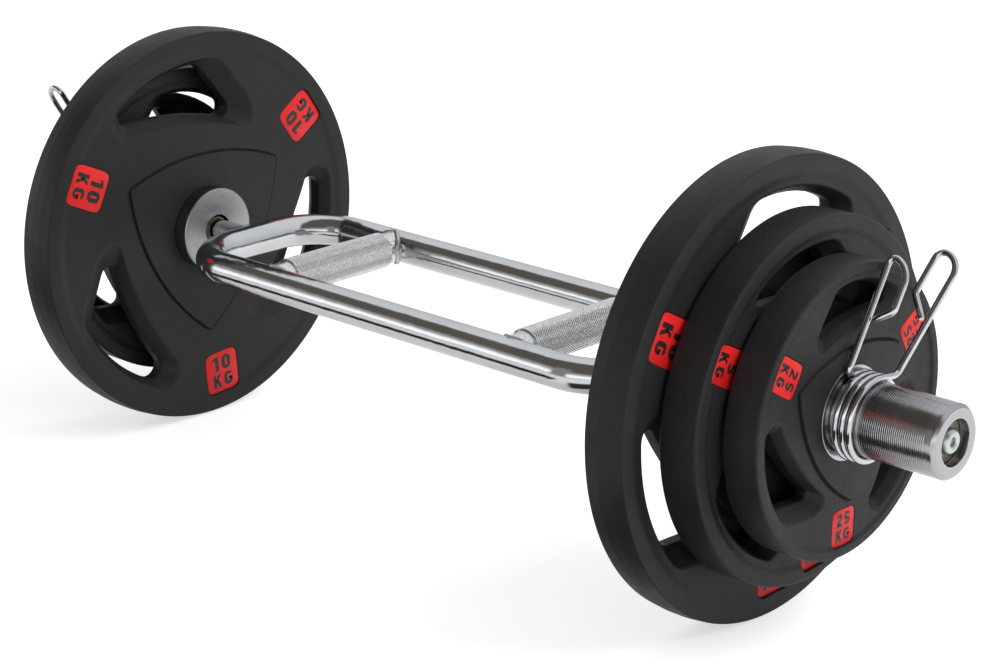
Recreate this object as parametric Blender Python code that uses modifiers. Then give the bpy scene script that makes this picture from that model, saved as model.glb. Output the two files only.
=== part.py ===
# A short bar with two cross grips between two rails, for arm training.
# Each end has a turning sleeve with three rubber-covered plates and a wire spring clip.
# X runs along the bar, Z is up, and the two largest plates stand on Z = 0.

import math

import bmesh
import bpy
from mathutils import Vector

# All sizes are in metres and all angles in degrees.

# Gap between pieces that touch on the real object
TOUCH_GAP = 0.0003
# Gap between the turning sleeve's bushes and the shaft
RUNNING_GAP = 0.0003
# Gap between the sleeve and the plates' bore rings
SLIDING_GAP = 0.0005

# Frame
FRAME_HALF_LENGTH = 0.216
RAIL_OFFSET = 0.068
RAIL_RADIUS = 0.0125
CORNER_RADIUS = 0.0445
GRIP_FROM_END = 0.094
GRIP_RADIUS = 0.0143
GRIP_NECK_RADIUS = 0.0122
GRIP_NECK_LENGTH = 0.009
GRIP_CHAMFER = 0.0012
COPE_GAP = 0.0006
BOW_LEAD = 0.0012

# Shaft with its end screw and washer
SHAFT_RADIUS = 0.009
SHAFT_EXPOSED = 0.0315
WASHER_RADIUS = 0.0152
WASHER_THICKNESS = 0.0025
SCREW_HEAD_RADIUS = 0.00885
SCREW_HEAD_HEIGHT = 0.0055
# Button head's edge as shares of its height and radius
SCREW_HEAD_EDGE = [(0.0, 1.0), (0.40, 0.95), (0.80, 0.76), (1.0, 0.50)]
SCREW_SHANK_RADIUS = 0.005
SCREW_SHANK_LENGTH = 0.028
SOCKET_WIDTH = 0.006
SOCKET_DEPTH = 0.0032

# Sleeve
FLANGE_THICKNESS = 0.0128
FLANGE_RADIUS = 0.034
FLANGE_CHAMFER = 0.001
FLANGE_SEAT_DEPTH = 0.0068
SLEEVE_RADIUS = 0.025
SLEEVE_LENGTH = 0.1684
SLEEVE_CHAMFER = 0.0024
END_RECESS = 0.007
BUSH_WALL = 0.0026
BUSH_LENGTH = 0.025
BUSH_RECESS = 0.0015

# Plates, from the flange outwards
PLATE_RING_WALL = 0.0065
PAD_HEIGHT = 0.0017
PAD_BELOW_RING = 0.0002
RUBBER_WALL = 0.0025
RUBBER_RIM_WALL = 0.003
EDGE_ROUNDING = 0.0042
TREAD_WIDTH = 0.0094
LARGE_PLATE_RADIUS = 0.160
LARGE_PLATE_WIDTH = 0.0317
MIDDLE_PLATE_RADIUS = 0.125
MIDDLE_PLATE_WIDTH = 0.0297
SMALL_PLATE_RADIUS = 0.0998
SMALL_PLATE_WIDTH = 0.0275
# The raised edge starts and ends at these shares of the rim, measured inwards
LIP_START_SHARE = 0.9
LIP_TOP_SHARE = 0.6
# Places along each side of the pad's outline, as shares of its half
PAD_PLACES = (-0.92, -0.55, -0.18, 0.18, 0.55, 0.92)
# The pad's turn against the grip holes, towards their slanted sides
PAD_TURN = 5.0
PLATES = {
    "10": {
        "radius": LARGE_PLATE_RADIUS,
        "width": LARGE_PLATE_WIDTH,
        "rim": 0.022,
        "crown": 0.0012,
        "pad_corner": 0.088,
        "pad_side": 0.060,
        "hand": -1,
        "steps": 40,
        "turn": {"right": 91.3, "left": 85.0},
    },
    "5": {
        "radius": MIDDLE_PLATE_RADIUS,
        "width": MIDDLE_PLATE_WIDTH,
        "rim": 0.017,
        "crown": 0.0,
        "pad_corner": 0.069,
        "pad_side": 0.047,
        "hand": 1,
        "steps": 36,
        "turn": {"right": 93.0, "left": 91.0},
    },
    "2_5": {
        "radius": SMALL_PLATE_RADIUS,
        "width": SMALL_PLATE_WIDTH,
        "rim": 0.0113,
        "crown": 0.0,
        "pad_corner": 0.062,
        "pad_side": 0.044,
        "hand": -1,
        "steps": 28,
        "turn": {"right": 89.3, "left": 90.0},
    },
}

# Grip hole outlines as shares of the mouth's outer radius: across and outwards from the hub.
# Each corner has its place and its fillet radius, from the slanted side round to the blunt end.
MOUTH_CORNERS = [
    ((-0.435, 0.507), 0.070),
    ((-0.438, 0.667), 0.200),
    ((-0.232, 0.970), 0.140),
    ((0.580, 0.812), 0.100),
    ((0.562, 0.667), 0.090),
]
MOUTH_HUB_BULGE = 0.047
THROAT_CORNERS = [
    ((-0.322, 0.583), 0.045),
    ((-0.297, 0.674), 0.150),
    ((-0.116, 0.945), 0.120),
    ((0.496, 0.819), 0.065),
    ((0.482, 0.725), 0.065),
]
THROAT_OUTER_RADIUS = 0.957
THROAT_HUB_BULGE = 0.033
THROAT_SHARE = 0.333
HOLES = 3

# Spring clip
WIRE_RADIUS = 0.0023
# Each clip's distance from the outermost plate and its turn round the bar
CLIP_STANDOFF = {"right": 0.0005, "left": 0.0125}
CLIP_TURN = {"right": 0.0, "left": 10.0}
CLIP_PITCH = 0.0053
CLIP_FULL_TURNS = 3
CLIP_START = 97.0
CLIP_END = 81.5
CLIP_POINTS_PER_TURN = 10
CLIP_CUT_GAP = 0.0008
# The inner arm's line passes this much nearer to the bar's axis than the coil's wire does
INNER_ARM_INSET = 0.0026
# Each arm's handle loop: along the arm's line, and across to where the loop comes back.
# The lean is the arm's slant away from the plates.
INNER_ARM = {
    "angle": 58.5,
    "lean": 0.0,
    "loop_x": 1,
    "top": 0.10275,
    "shoulder": 0.09375,
    "corner": 0.06565,
    "spacing": 0.0164,
    "closing_lean": 33.7,
    "root_bend": 0.0045,
    "top_bend": 0.0045,
    "shoulder_bend": 0.016,
}
OUTER_ARM = {
    "angle": 51.9,
    "lean": 6.84,
    "loop_x": -1,
    "offset": 0.0004,
    "top": 0.1168,
    "shoulder": 0.1218,
    "corner": 0.0884,
    "spacing": 0.019,
    "closing_lean": 47.5,
    "root_bend": 0.008,
    "top_bend": 0.0138,
    "shoulder_bend": 0.006,
}
ARM_CORNER_BEND = 0.005
# Stretches of wire nearer than this along it, in wire radii, aren't compared for gaps
SELF_GAP_REACH = 12.0

# Facets round each turned piece
SLEEVE_STEPS = 24
SHAFT_STEPS = 16
CORE_STEPS = 20
COPE_STEPS = 32
CORNER_STEPS = 6

# Places that follow from the sizes above
AXIS_HEIGHT = LARGE_PLATE_RADIUS
GRIP_OFFSET = FRAME_HALF_LENGTH - GRIP_FROM_END
FLANGE_INNER_X = FRAME_HALF_LENGTH + RAIL_RADIUS + SHAFT_EXPOSED
FLANGE_OUTER_X = FLANGE_INNER_X + FLANGE_THICKNESS
SLEEVE_START_X = FLANGE_OUTER_X - FLANGE_SEAT_DEPTH + TOUCH_GAP
SLEEVE_END_X = FLANGE_OUTER_X + SLEEVE_LENGTH
WASHER_OUTER_X = SLEEVE_END_X - END_RECESS
WASHER_INNER_X = WASHER_OUTER_X - WASHER_THICKNESS
RECESS_FLOOR_X = WASHER_INNER_X - TOUCH_GAP
SHAFT_END_X = WASHER_INNER_X - TOUCH_GAP
RING_BORE_RADIUS = SLEEVE_RADIUS + SLIDING_GAP
RING_RADIUS = RING_BORE_RADIUS + PLATE_RING_WALL
COIL_RADIUS = SLEEVE_RADIUS / math.cos(math.pi / SLEEVE_STEPS) + TOUCH_GAP + WIRE_RADIUS
INNER_ARM["offset"] = INNER_ARM_INSET - COIL_RADIUS

SIDES = {"right": 0.0, "left": math.pi}


def clear_scene():
    for item in list(bpy.data.objects):
        bpy.data.objects.remove(item, do_unlink=True)


def make_collection(name):
    collection = bpy.data.collections.new(name)
    bpy.context.scene.collection.children.link(collection)
    return collection


def make_material(name, color, roughness, metallic):
    material = bpy.data.materials.new(name)
    material.use_nodes = True
    shader = material.node_tree.nodes["Principled BSDF"]
    shader.inputs["Base Color"].default_value = (*color, 1.0)
    shader.inputs["Roughness"].default_value = roughness
    shader.inputs["Metallic"].default_value = metallic
    material.diffuse_color = (*color, 1.0)
    return material


def make_materials():
    # Name: colour, roughness, metallic
    looks = {
        "chrome": ((0.55, 0.56, 0.57), 0.12, 1.0),
        "knurled_chrome": ((0.50, 0.51, 0.52), 0.35, 1.0),
        "shaft_steel": ((0.50, 0.51, 0.52), 0.25, 1.0),
        "turned_steel": ((0.52, 0.54, 0.56), 0.30, 1.0),
        "sleeve_steel": ((0.45, 0.46, 0.48), 0.28, 1.0),
        "dark_washer": ((0.18, 0.17, 0.16), 0.25, 1.0),
        "zinc": ((0.60, 0.62, 0.60), 0.40, 1.0),
        "bronze": ((0.45, 0.33, 0.15), 0.40, 1.0),
        "rubber_smooth": ((0.032, 0.032, 0.033), 0.55, 0.0),
        "rubber_grained": ((0.030, 0.030, 0.031), 0.65, 0.0),
        "cast_iron": ((0.08, 0.08, 0.085), 0.60, 1.0),
        "ring_steel": ((0.40, 0.42, 0.44), 0.35, 1.0),
        "spring_chrome": ((0.45, 0.45, 0.46), 0.15, 1.0),
    }
    return {name: make_material(name, *look) for name, look in looks.items()}


def add_object(name, data, parent, collection, material=None):
    item = bpy.data.objects.new(name, data)
    item.parent = parent
    collection.objects.link(item)
    if material:
        data.materials.append(material)
    return item


def add_empty(name, location, spin, collection, parent=None):
    empty = bpy.data.objects.new(name, None)
    empty.location = location
    empty.rotation_euler = (0.0, 0.0, spin)
    empty.empty_display_size = 0.03
    empty.parent = parent
    collection.objects.link(empty)
    return empty


def mark_cutter(item):
    item.hide_render = True
    item.display_type = "WIRE"
    return item


# The profile holds (place along the axis, radius) pairs, in order round the section.
# Its flats lie at the stated radius, with one flat facing straight down.
def turned(name, profile, steps, parent, collection, material=None, along="X"):
    area = 0.0
    for (x_a, r_a), (x_b, r_b) in zip(profile, profile[1:] + profile[:1]):
        area += r_a * x_b - r_b * x_a
    points = profile if area < 0.0 else profile[::-1]
    closed = all(radius > 0.0 for _, radius in points)
    if not closed:
        first = next(i for i, (_, radius) in enumerate(points)
                     if radius == 0.0 and points[i - 1][1] == 0.0)
        points = points[first:] + points[:first]
    half_step = math.pi / steps
    mesh = bpy.data.meshes.new(name)
    shape = bmesh.new()
    corners = []
    for place, radius in points:
        slope = radius * math.tan(half_step)
        corners.append(shape.verts.new((radius, slope, place)))
    for start, end in zip(corners, corners[1:]):
        shape.edges.new((start, end))
    if closed:
        shape.edges.new((corners[-1], corners[0]))
    shape.to_mesh(mesh)
    shape.free()
    item = add_object(name, mesh, parent, collection, material)
    item.rotation_euler = (0.0, math.pi / 2, 0.0) if along == "X" else (-math.pi / 2, 0.0, 0.0)
    screw = item.modifiers.new("Turn", "SCREW")
    screw.axis = "Z"
    screw.angle = 2.0 * math.pi
    screw.steps = steps
    screw.render_steps = steps
    screw.use_merge_vertices = True
    screw.merge_threshold = 0.00001
    return item


def tube(name, points, radius, resolution, parent, collection, material):
    curve = bpy.data.curves.new(name, "CURVE")
    curve.dimensions = "3D"
    curve.bevel_depth = radius
    curve.bevel_resolution = resolution
    curve.use_fill_caps = True
    spline = curve.splines.new("POLY")
    spline.points.add(len(points) - 1)
    for knot, point in zip(spline.points, points):
        knot.co = (*point, 1.0)
    return add_object(name, curve, parent, collection, material)


# Closed body through rings of equal point counts, with flat ends
def loft(name, rings, parent, collection, material=None):
    mesh = bpy.data.meshes.new(name)
    shape = bmesh.new()
    loops = [[shape.verts.new(point) for point in ring] for ring in rings]
    count = len(loops[0])
    for lower, upper in zip(loops, loops[1:]):
        for i in range(count):
            j = (i + 1) % count
            shape.faces.new((lower[i], lower[j], upper[j], upper[i]))
    shape.faces.new(loops[0][::-1])
    shape.faces.new(loops[-1])
    bmesh.ops.recalc_face_normals(shape, faces=shape.faces)
    shape.to_mesh(mesh)
    shape.free()
    return add_object(name, mesh, parent, collection, material)


def cylinder(name, radius, length, steps, parent, collection, material=None, along="X"):
    mesh = bpy.data.meshes.new(name)
    shape = bmesh.new()
    bmesh.ops.create_cone(shape, cap_ends=True, segments=steps,
                          radius1=radius, radius2=radius, depth=length)
    shape.to_mesh(mesh)
    shape.free()
    item = add_object(name, mesh, parent, collection, material)
    item.rotation_euler = (0.0, math.pi / 2, 0.0) if along == "X" else (-math.pi / 2, 0.0, 0.0)
    return item


def combine(item, other, operation):
    modifier = item.modifiers.new(operation.title() + "_" + other.name, "BOOLEAN")
    modifier.operation = operation
    modifier.solver = "EXACT"
    modifier.object = other


# Points along the arc about a center, from one end to the other
def arc(center, first, last, steps):
    start, end = first - center, last - center
    sweep = start.angle(end)
    points = []
    for i in range(steps + 1):
        share = i / steps
        mixed = start * math.sin((1.0 - share) * sweep) + end * math.sin(share * sweep)
        points.append(center + mixed / math.sin(sweep))
    return points


# Points of a rounded corner, from the line before it to the line after it
def fillet(before, corner, after, radius, steps):
    to_start = (before - corner).normalized()
    to_end = (after - corner).normalized()
    half_angle = to_start.angle(to_end) / 2.0
    reach = radius / math.tan(half_angle)
    center = corner + (to_start + to_end).normalized() * (radius / math.sin(half_angle))
    return arc(center, corner + to_start * reach, corner + to_end * reach, steps)


# Rounded corner where a hole's side, through two points, meets its edge along the rim
def rim_corner(start, corner, rim_radius, bend, steps):
    along = (corner - start).normalized()
    inward = Vector((along.y, -along.x))
    if inward.x * start.x > 0.0:
        inward = -inward
    base = start + inward * bend
    reach = base.dot(along)
    run = math.sqrt(reach ** 2 - base.length_squared + (rim_radius - bend) ** 2) - reach
    center = base + along * run
    return arc(center, center - inward * bend, center.normalized() * rim_radius, steps)


# Points between two ends of a circular arc that stands out by the height to the left
def bow(start, end, height, steps):
    chord = end - start
    half = chord.length / 2.0
    radius = (half * half + height * height) / (2.0 * height)
    outward = Vector((-chord.y, chord.x)).normalized()
    center = (start + end) / 2.0 + outward * (height - radius)
    points = []
    for i in range(1, steps):
        share = 2.0 * i / steps - 1.0
        angle = share * math.asin(half / radius)
        along = chord.normalized() * math.sin(angle) * radius
        points.append(center + along + outward * math.cos(angle) * radius)
    return points


# One grip hole's outline in its own plane: X across the plate, Y outwards from the hub
def hole_outline(corner_table, outer_radius, hub_bulge, scale, fillet_steps, edge_steps):
    corners = [Vector(place) * scale for place, _ in corner_table]
    bends = [bend * scale for _, bend in corner_table]
    arcs = []
    for i, corner in enumerate(corners):
        after = corners[(i + 1) % len(corners)]
        arcs.append(fillet(corners[i - 1], corner, after, bends[i], fillet_steps))
    rim_radius = outer_radius * scale
    arcs[2] = rim_corner(corners[1], corners[2], rim_radius, bends[2], fillet_steps)
    arcs[3] = rim_corner(corners[4], corners[3], rim_radius, bends[3], fillet_steps)[::-1]
    rim_edge = arc(Vector((0.0, 0.0)), arcs[2][-1], arcs[3][0], edge_steps)[1:-1]
    hub_edge = bow(arcs[0][0], arcs[4][-1], hub_bulge * scale, edge_steps)[::-1]
    return arcs[0] + arcs[1] + arcs[2] + rim_edge + arcs[3] + arcs[4] + hub_edge


def offset_outline(points, distance):
    center = sum(points, Vector((0.0, 0.0))) / len(points)
    moved = []
    for i, point in enumerate(points):
        before = (point - points[i - 1]).normalized()
        after = (points[(i + 1) % len(points)] - point).normalized()
        along = (before + after).normalized()
        normal = Vector((along.y, -along.x))
        if normal.dot(point - center) < 0.0:
            normal = -normal
        lean = abs(normal.dot(Vector((before.y, -before.x))))
        moved.append(point + normal * distance / lean)
    return moved


# Places a hole's outline at an angle round the bar's axis
def place_outline(points, x, angle, hand):
    cos_a, sin_a = math.cos(angle), math.sin(angle)
    placed = []
    for point in points:
        across = point.x * hand
        placed.append((x, point.y * cos_a - across * sin_a, point.y * sin_a + across * cos_a))
    return placed


# The tri-lobe pad round the hub, with its corners between the holes
def pad_outline(plate, turn):
    lobe = math.radians(180.0 / HOLES)
    half_chord = plate["pad_corner"] * math.sin(lobe)
    height = plate["pad_side"] - plate["pad_corner"] * math.cos(lobe)
    radius = (half_chord ** 2 + height ** 2) / (2.0 * height)
    reach = math.asin(half_chord / radius)
    points = []
    for hole in range(HOLES):
        facing = turn + 2.0 * lobe * hole
        for share in PAD_PLACES:
            angle = facing + reach * share
            out = plate["pad_side"] - radius
            y = out * math.cos(facing) + radius * math.cos(angle)
            z = out * math.sin(facing) + radius * math.sin(angle)
            points.append((y, z))
    return points


def make_frame(root, parts, cutters, materials):
    straight = FRAME_HALF_LENGTH - CORNER_RADIUS
    for name, y in (("rail_front", -RAIL_OFFSET), ("rail_rear", RAIL_OFFSET)):
        rail = cylinder(name, RAIL_RADIUS, 2.0 * straight, 16, root, parts, materials["chrome"])
        rail.location = (0.0, y, 0.0)
    for name, x in (("handle_left", -GRIP_OFFSET), ("handle_right", GRIP_OFFSET)):
        make_handle(name, x, root, parts, cutters, materials["knurled_chrome"])


def make_handle(name, x, root, parts, cutters, material):
    neck_start = RAIL_OFFSET - RAIL_RADIUS - GRIP_NECK_LENGTH
    knurl_end = neck_start - GRIP_CHAMFER
    profile = [
        (-RAIL_OFFSET, 0.0),
        (-RAIL_OFFSET, GRIP_NECK_RADIUS),
        (-neck_start, GRIP_NECK_RADIUS),
        (-knurl_end, GRIP_RADIUS),
        (knurl_end, GRIP_RADIUS),
        (neck_start, GRIP_NECK_RADIUS),
        (RAIL_OFFSET, GRIP_NECK_RADIUS),
        (RAIL_OFFSET, 0.0),
    ]
    handle = turned(name, profile, SLEEVE_STEPS, root, parts, material, along="Y")
    handle.location = (x, 0.0, 0.0)
    for end, y in (("front", -RAIL_OFFSET), ("rear", RAIL_OFFSET)):
        cope = cylinder(name + "_cope_" + end, RAIL_RADIUS + COPE_GAP, 4.0 * GRIP_RADIUS,
                        COPE_STEPS, root, cutters)
        cope.location = (x, y, 0.0)
        combine(handle, mark_cutter(cope), "DIFFERENCE")


def make_end_bow(side, hub, parts, materials):
    turn_x = FRAME_HALF_LENGTH - CORNER_RADIUS
    turn_y = RAIL_OFFSET - CORNER_RADIUS
    points = [(turn_x + TOUCH_GAP, -RAIL_OFFSET, 0.0)]
    for start, y in ((-90.0, -turn_y), (0.0, turn_y)):
        for i in range(CORNER_STEPS + 1):
            angle = math.radians(start + 90.0 * i / CORNER_STEPS)
            points.append((turn_x + CORNER_RADIUS * math.cos(angle),
                           y + CORNER_RADIUS * math.sin(angle), 0.0))
    points[1] = (turn_x + BOW_LEAD, -RAIL_OFFSET, 0.0)
    points[-1] = (turn_x + BOW_LEAD, RAIL_OFFSET, 0.0)
    points.append((turn_x + TOUCH_GAP, RAIL_OFFSET, 0.0))
    tube("end_bow_" + side, points, RAIL_RADIUS, 4, hub, parts, materials["chrome"])


def make_shaft(side, hub, parts, cutters, materials):
    hole_radius = SCREW_SHANK_RADIUS + TOUCH_GAP
    hole_end_x = SHAFT_END_X - SCREW_SHANK_LENGTH
    profile = [
        (FRAME_HALF_LENGTH, 0.0),
        (FRAME_HALF_LENGTH, SHAFT_RADIUS),
        (SHAFT_END_X, SHAFT_RADIUS),
        (SHAFT_END_X, hole_radius),
        (hole_end_x, hole_radius),
        (hole_end_x, 0.0),
    ]
    shaft = turned("shaft_" + side, profile, SHAFT_STEPS, hub, parts, materials["shaft_steel"])
    cope = cylinder("shaft_cope_" + side, RAIL_RADIUS + COPE_GAP, 4.0 * SHAFT_RADIUS,
                    COPE_STEPS, hub, cutters, along="Y")
    cope.location = (FRAME_HALF_LENGTH, 0.0, 0.0)
    combine(shaft, mark_cutter(cope), "DIFFERENCE")


def make_shaft_end(side, hub, parts, cutters, materials):
    hole_radius = SCREW_SHANK_RADIUS + TOUCH_GAP
    washer = [
        (WASHER_INNER_X, hole_radius),
        (WASHER_INNER_X, WASHER_RADIUS),
        (WASHER_OUTER_X, WASHER_RADIUS),
        (WASHER_OUTER_X, hole_radius),
    ]
    turned("shaft_washer_" + side, washer, SLEEVE_STEPS, hub, parts, materials["dark_washer"])
    seat_x = WASHER_OUTER_X + TOUCH_GAP
    top_x = seat_x + SCREW_HEAD_HEIGHT
    tip_x = SHAFT_END_X - SCREW_SHANK_LENGTH + 2.0 * TOUCH_GAP
    screw = [(tip_x, 0.0), (tip_x, SCREW_SHANK_RADIUS), (seat_x, SCREW_SHANK_RADIUS)]
    screw += [(seat_x + up * SCREW_HEAD_HEIGHT, out * SCREW_HEAD_RADIUS)
              for up, out in SCREW_HEAD_EDGE]
    screw.append((top_x, 0.0))
    bolt = turned("shaft_bolt_" + side, screw, SHAFT_STEPS, hub, parts, materials["zinc"])
    socket = cylinder("bolt_socket_" + side, SOCKET_WIDTH / math.sqrt(3.0), 2.0 * SOCKET_DEPTH,
                      6, hub, cutters)
    socket.location = (top_x, 0.0, 0.0)
    combine(bolt, mark_cutter(socket), "DIFFERENCE")


def make_sleeve(side, hub, parts, materials):
    bush_radius = SHAFT_RADIUS + RUNNING_GAP + BUSH_WALL
    bore = bush_radius / math.cos(math.pi / SHAFT_STEPS) + TOUCH_GAP
    recess_radius = WASHER_RADIUS + TOUCH_GAP
    sleeve = [
        (SLEEVE_START_X, bore),
        (SLEEVE_START_X, SLEEVE_RADIUS),
        (SLEEVE_END_X - SLEEVE_CHAMFER, SLEEVE_RADIUS),
        (SLEEVE_END_X, SLEEVE_RADIUS - SLEEVE_CHAMFER),
        (SLEEVE_END_X, recess_radius),
        (RECESS_FLOOR_X, recess_radius),
        (RECESS_FLOOR_X, bore),
    ]
    turned("sleeve_" + side, sleeve, SLEEVE_STEPS, hub, parts, materials["sleeve_steel"])
    seat_radius = SLEEVE_RADIUS + TOUCH_GAP
    seat_x = FLANGE_OUTER_X - FLANGE_SEAT_DEPTH
    flange = [
        (FLANGE_INNER_X, bore),
        (FLANGE_INNER_X, FLANGE_RADIUS - FLANGE_CHAMFER),
        (FLANGE_INNER_X + FLANGE_CHAMFER, FLANGE_RADIUS),
        (FLANGE_OUTER_X, FLANGE_RADIUS),
        (FLANGE_OUTER_X, seat_radius),
        (seat_x, seat_radius),
        (seat_x, bore),
    ]
    turned("flange_" + side, flange, SLEEVE_STEPS, hub, parts, materials["turned_steel"])
    inner_start = FLANGE_INNER_X + BUSH_RECESS
    outer_end = RECESS_FLOOR_X - TOUCH_GAP
    places = (("bush_inner_", inner_start), ("bush_outer_", outer_end - BUSH_LENGTH))
    for name, start in places:
        bush = [
            (start, SHAFT_RADIUS + RUNNING_GAP),
            (start, bush_radius),
            (start + BUSH_LENGTH, bush_radius),
            (start + BUSH_LENGTH, SHAFT_RADIUS + RUNNING_GAP),
        ]
        turned(name + side, bush, SHAFT_STEPS, hub, parts, materials["bronze"])


# A grip hole through the plate: a mouth at each face and ramps to a narrower throat
def hole_cutter(name, plate, web_half, angle, x, hub, cutters):
    scale = plate["radius"] - plate["rim"]
    mouth = hole_outline(MOUTH_CORNERS, 1.0, MOUTH_HUB_BULGE, scale, 2, 3)
    throat = hole_outline(THROAT_CORNERS, THROAT_OUTER_RADIUS, THROAT_HUB_BULGE, scale, 2, 3)
    land = web_half * THROAT_SHARE
    outside = web_half + plate["width"]
    sections = [
        (-outside, mouth),
        (-web_half, mouth),
        (-land, throat),
        (land, throat),
        (web_half, mouth),
        (outside, mouth),
    ]
    rings = [place_outline(outline, x + depth, angle, plate["hand"]) for depth, outline in sections]
    return mark_cutter(loft(name, rings, hub, cutters))


# The iron's plain hole, which leaves room for the rubber that lines the grip hole
def lining_cutter(name, plate, margin, half, angle, x, hub, cutters):
    scale = plate["radius"] - plate["rim"]
    outline = hole_outline(MOUTH_CORNERS, 1.0, MOUTH_HUB_BULGE, scale, 1, 2)
    wide = offset_outline(outline, margin)
    rings = [place_outline(wide, x + depth, angle, plate["hand"]) for depth in (-half, half)]
    return mark_cutter(loft(name, rings, hub, cutters))


def make_plate(size, side, x_inner, hub, parts, cutters, materials):
    plate = PLATES[size]
    label = size + "_" + side
    turn = math.radians(plate["turn"][side])
    angles = [turn + 2.0 * math.pi * hole / HOLES for hole in range(HOLES)]
    half = plate["width"] / 2.0
    x = x_inner + half
    radius = plate["radius"]
    pad_half = half - PAD_BELOW_RING
    web_half = pad_half - PAD_HEIGHT
    cavity_half = web_half - RUBBER_WALL
    core_half = cavity_half - TOUCH_GAP
    cavity_radius = radius - plate["crown"] - RUBBER_RIM_WALL
    core_radius = cavity_radius - TOUCH_GAP
    bore_radius = RING_RADIUS + TOUCH_GAP

    ring = [
        (x - half, RING_BORE_RADIUS),
        (x - half, RING_RADIUS),
        (x + half, RING_RADIUS),
        (x + half, RING_BORE_RADIUS),
    ]
    turned("ring_" + label, ring, SLEEVE_STEPS, hub, parts, materials["ring_steel"])

    core_profile = [
        (x - core_half, bore_radius),
        (x - core_half, core_radius),
        (x + core_half, core_radius),
        (x + core_half, bore_radius),
    ]
    core = turned("core_" + label, core_profile, CORE_STEPS, hub, parts, materials["cast_iron"])

    # The room for the iron inside the rubber reaches in past the bore, so it is open there
    cavity_profile = [
        (x - cavity_half, 0.0),
        (x - cavity_half, cavity_radius),
        (x + cavity_half, cavity_radius),
        (x + cavity_half, 0.0),
    ]
    cavity = turned("cavity_" + label, cavity_profile, CORE_STEPS, hub, cutters)
    mark_cutter(cavity)

    lip_start = radius - LIP_START_SHARE * plate["rim"]
    lip_top = radius - LIP_TOP_SHARE * plate["rim"]
    inner_wall = RING_RADIUS + PLATE_RING_WALL
    cover_half = [
        (web_half, inner_wall),
        (web_half, lip_start),
        (pad_half, lip_top),
        (pad_half, radius - EDGE_ROUNDING),
        (pad_half - EDGE_ROUNDING, radius - plate["crown"]),
    ]
    if plate["crown"] > 0.0:
        cover_half.append((TREAD_WIDTH / 2.0, radius))
    profile = [(x + depth, r) for depth, r in cover_half]
    profile += [(x - depth, r) for depth, r in reversed(cover_half)]
    material = materials["rubber_smooth" if size == "10" else "rubber_grained"]
    cover = turned("plate_" + label, profile, plate["steps"], hub, parts, material)

    pad_points = pad_outline(plate, turn - math.radians(PAD_TURN) * plate["hand"])
    pad_rings = [[(x + depth, y, z) for y, z in pad_points] for depth in (-pad_half, pad_half)]
    pad = mark_cutter(loft("pad_" + label, pad_rings, hub, cutters))
    combine(cover, pad, "UNION")

    bore = cylinder("bore_" + label, bore_radius / math.cos(math.pi / SLEEVE_STEPS),
                    2.0 * plate["width"], SLEEVE_STEPS, hub, cutters)
    bore.location = (x, 0.0, 0.0)
    bore.rotation_euler = (0.0, math.pi / 2, 0.0)
    combine(cover, mark_cutter(bore), "DIFFERENCE")

    for number, angle in enumerate(angles, start=1):
        name = label + "_" + str(number)
        lining = lining_cutter("lining_" + name, plate, RUBBER_WALL, plate["width"], angle, x,
                               hub, cutters)
        combine(cavity, lining, "DIFFERENCE")
        window = lining_cutter("window_" + name, plate, RUBBER_WALL + TOUCH_GAP, plate["width"],
                               angle, x, hub, cutters)
        combine(core, window, "DIFFERENCE")
    combine(cover, cavity, "DIFFERENCE")
    for number, angle in enumerate(angles, start=1):
        hole = hole_cutter("hole_" + label + "_" + str(number), plate, web_half, angle, x,
                           hub, cutters)
        combine(cover, hole, "DIFFERENCE")


def unit(degrees):
    return Vector((math.cos(math.radians(degrees)), math.sin(math.radians(degrees))))


# Where the straight run off the coil meets an arm's main line
def arm_root(arm, coil_angle, heading):
    start = unit(coil_angle) * COIL_RADIUS
    along = unit(heading)
    side = unit(arm["angle"] - 90.0)
    run = (arm["offset"] - start.dot(side)) / along.dot(side)
    return start + along * run


# Lengths along an arm's main line are measured from the foot of the bar axis on that line
def arm_point(arm, root, x_root, along, across):
    main = unit(arm["angle"])
    slant = (along - root.dot(main)) * math.tan(math.radians(arm["lean"]))
    flat = main * along + unit(arm["angle"] - 90.0) * arm["offset"]
    return Vector((x_root + slant + arm["loop_x"] * across, *flat))


def arm_stub_end(arm, root, heading):
    main = unit(arm["angle"])
    bend = math.radians(180.0) - (-unit(heading)).angle(main)
    reach = arm["root_bend"] * math.tan(bend / 2.0)
    return root.dot(main) + reach + 2.0 * WIRE_RADIUS


def arm_outline(arm, root, x_root, base):
    spacing = arm["spacing"]
    lean = math.radians(arm["closing_lean"])
    stand = WIRE_RADIUS * (1.0 + math.sin(lean)) + 2.0 * TOUCH_GAP
    closing = (spacing - stand) * math.tan(lean)
    start = arm_point(arm, root, x_root, base, 0.0)
    top = arm_point(arm, root, x_root, arm["top"], 0.0)
    shoulder = arm_point(arm, root, x_root, arm["shoulder"], spacing)
    corner = arm_point(arm, root, x_root, arm["corner"], spacing)
    tip = arm_point(arm, root, x_root, arm["corner"] - closing, stand)
    points = [start]
    points += fillet(start, top, shoulder, arm["top_bend"], 4)
    points += fillet(top, shoulder, corner, arm["shoulder_bend"], 4)
    points += fillet(shoulder, corner, tip, ARM_CORNER_BEND, 3)
    points.append(tip)
    return points


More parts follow.
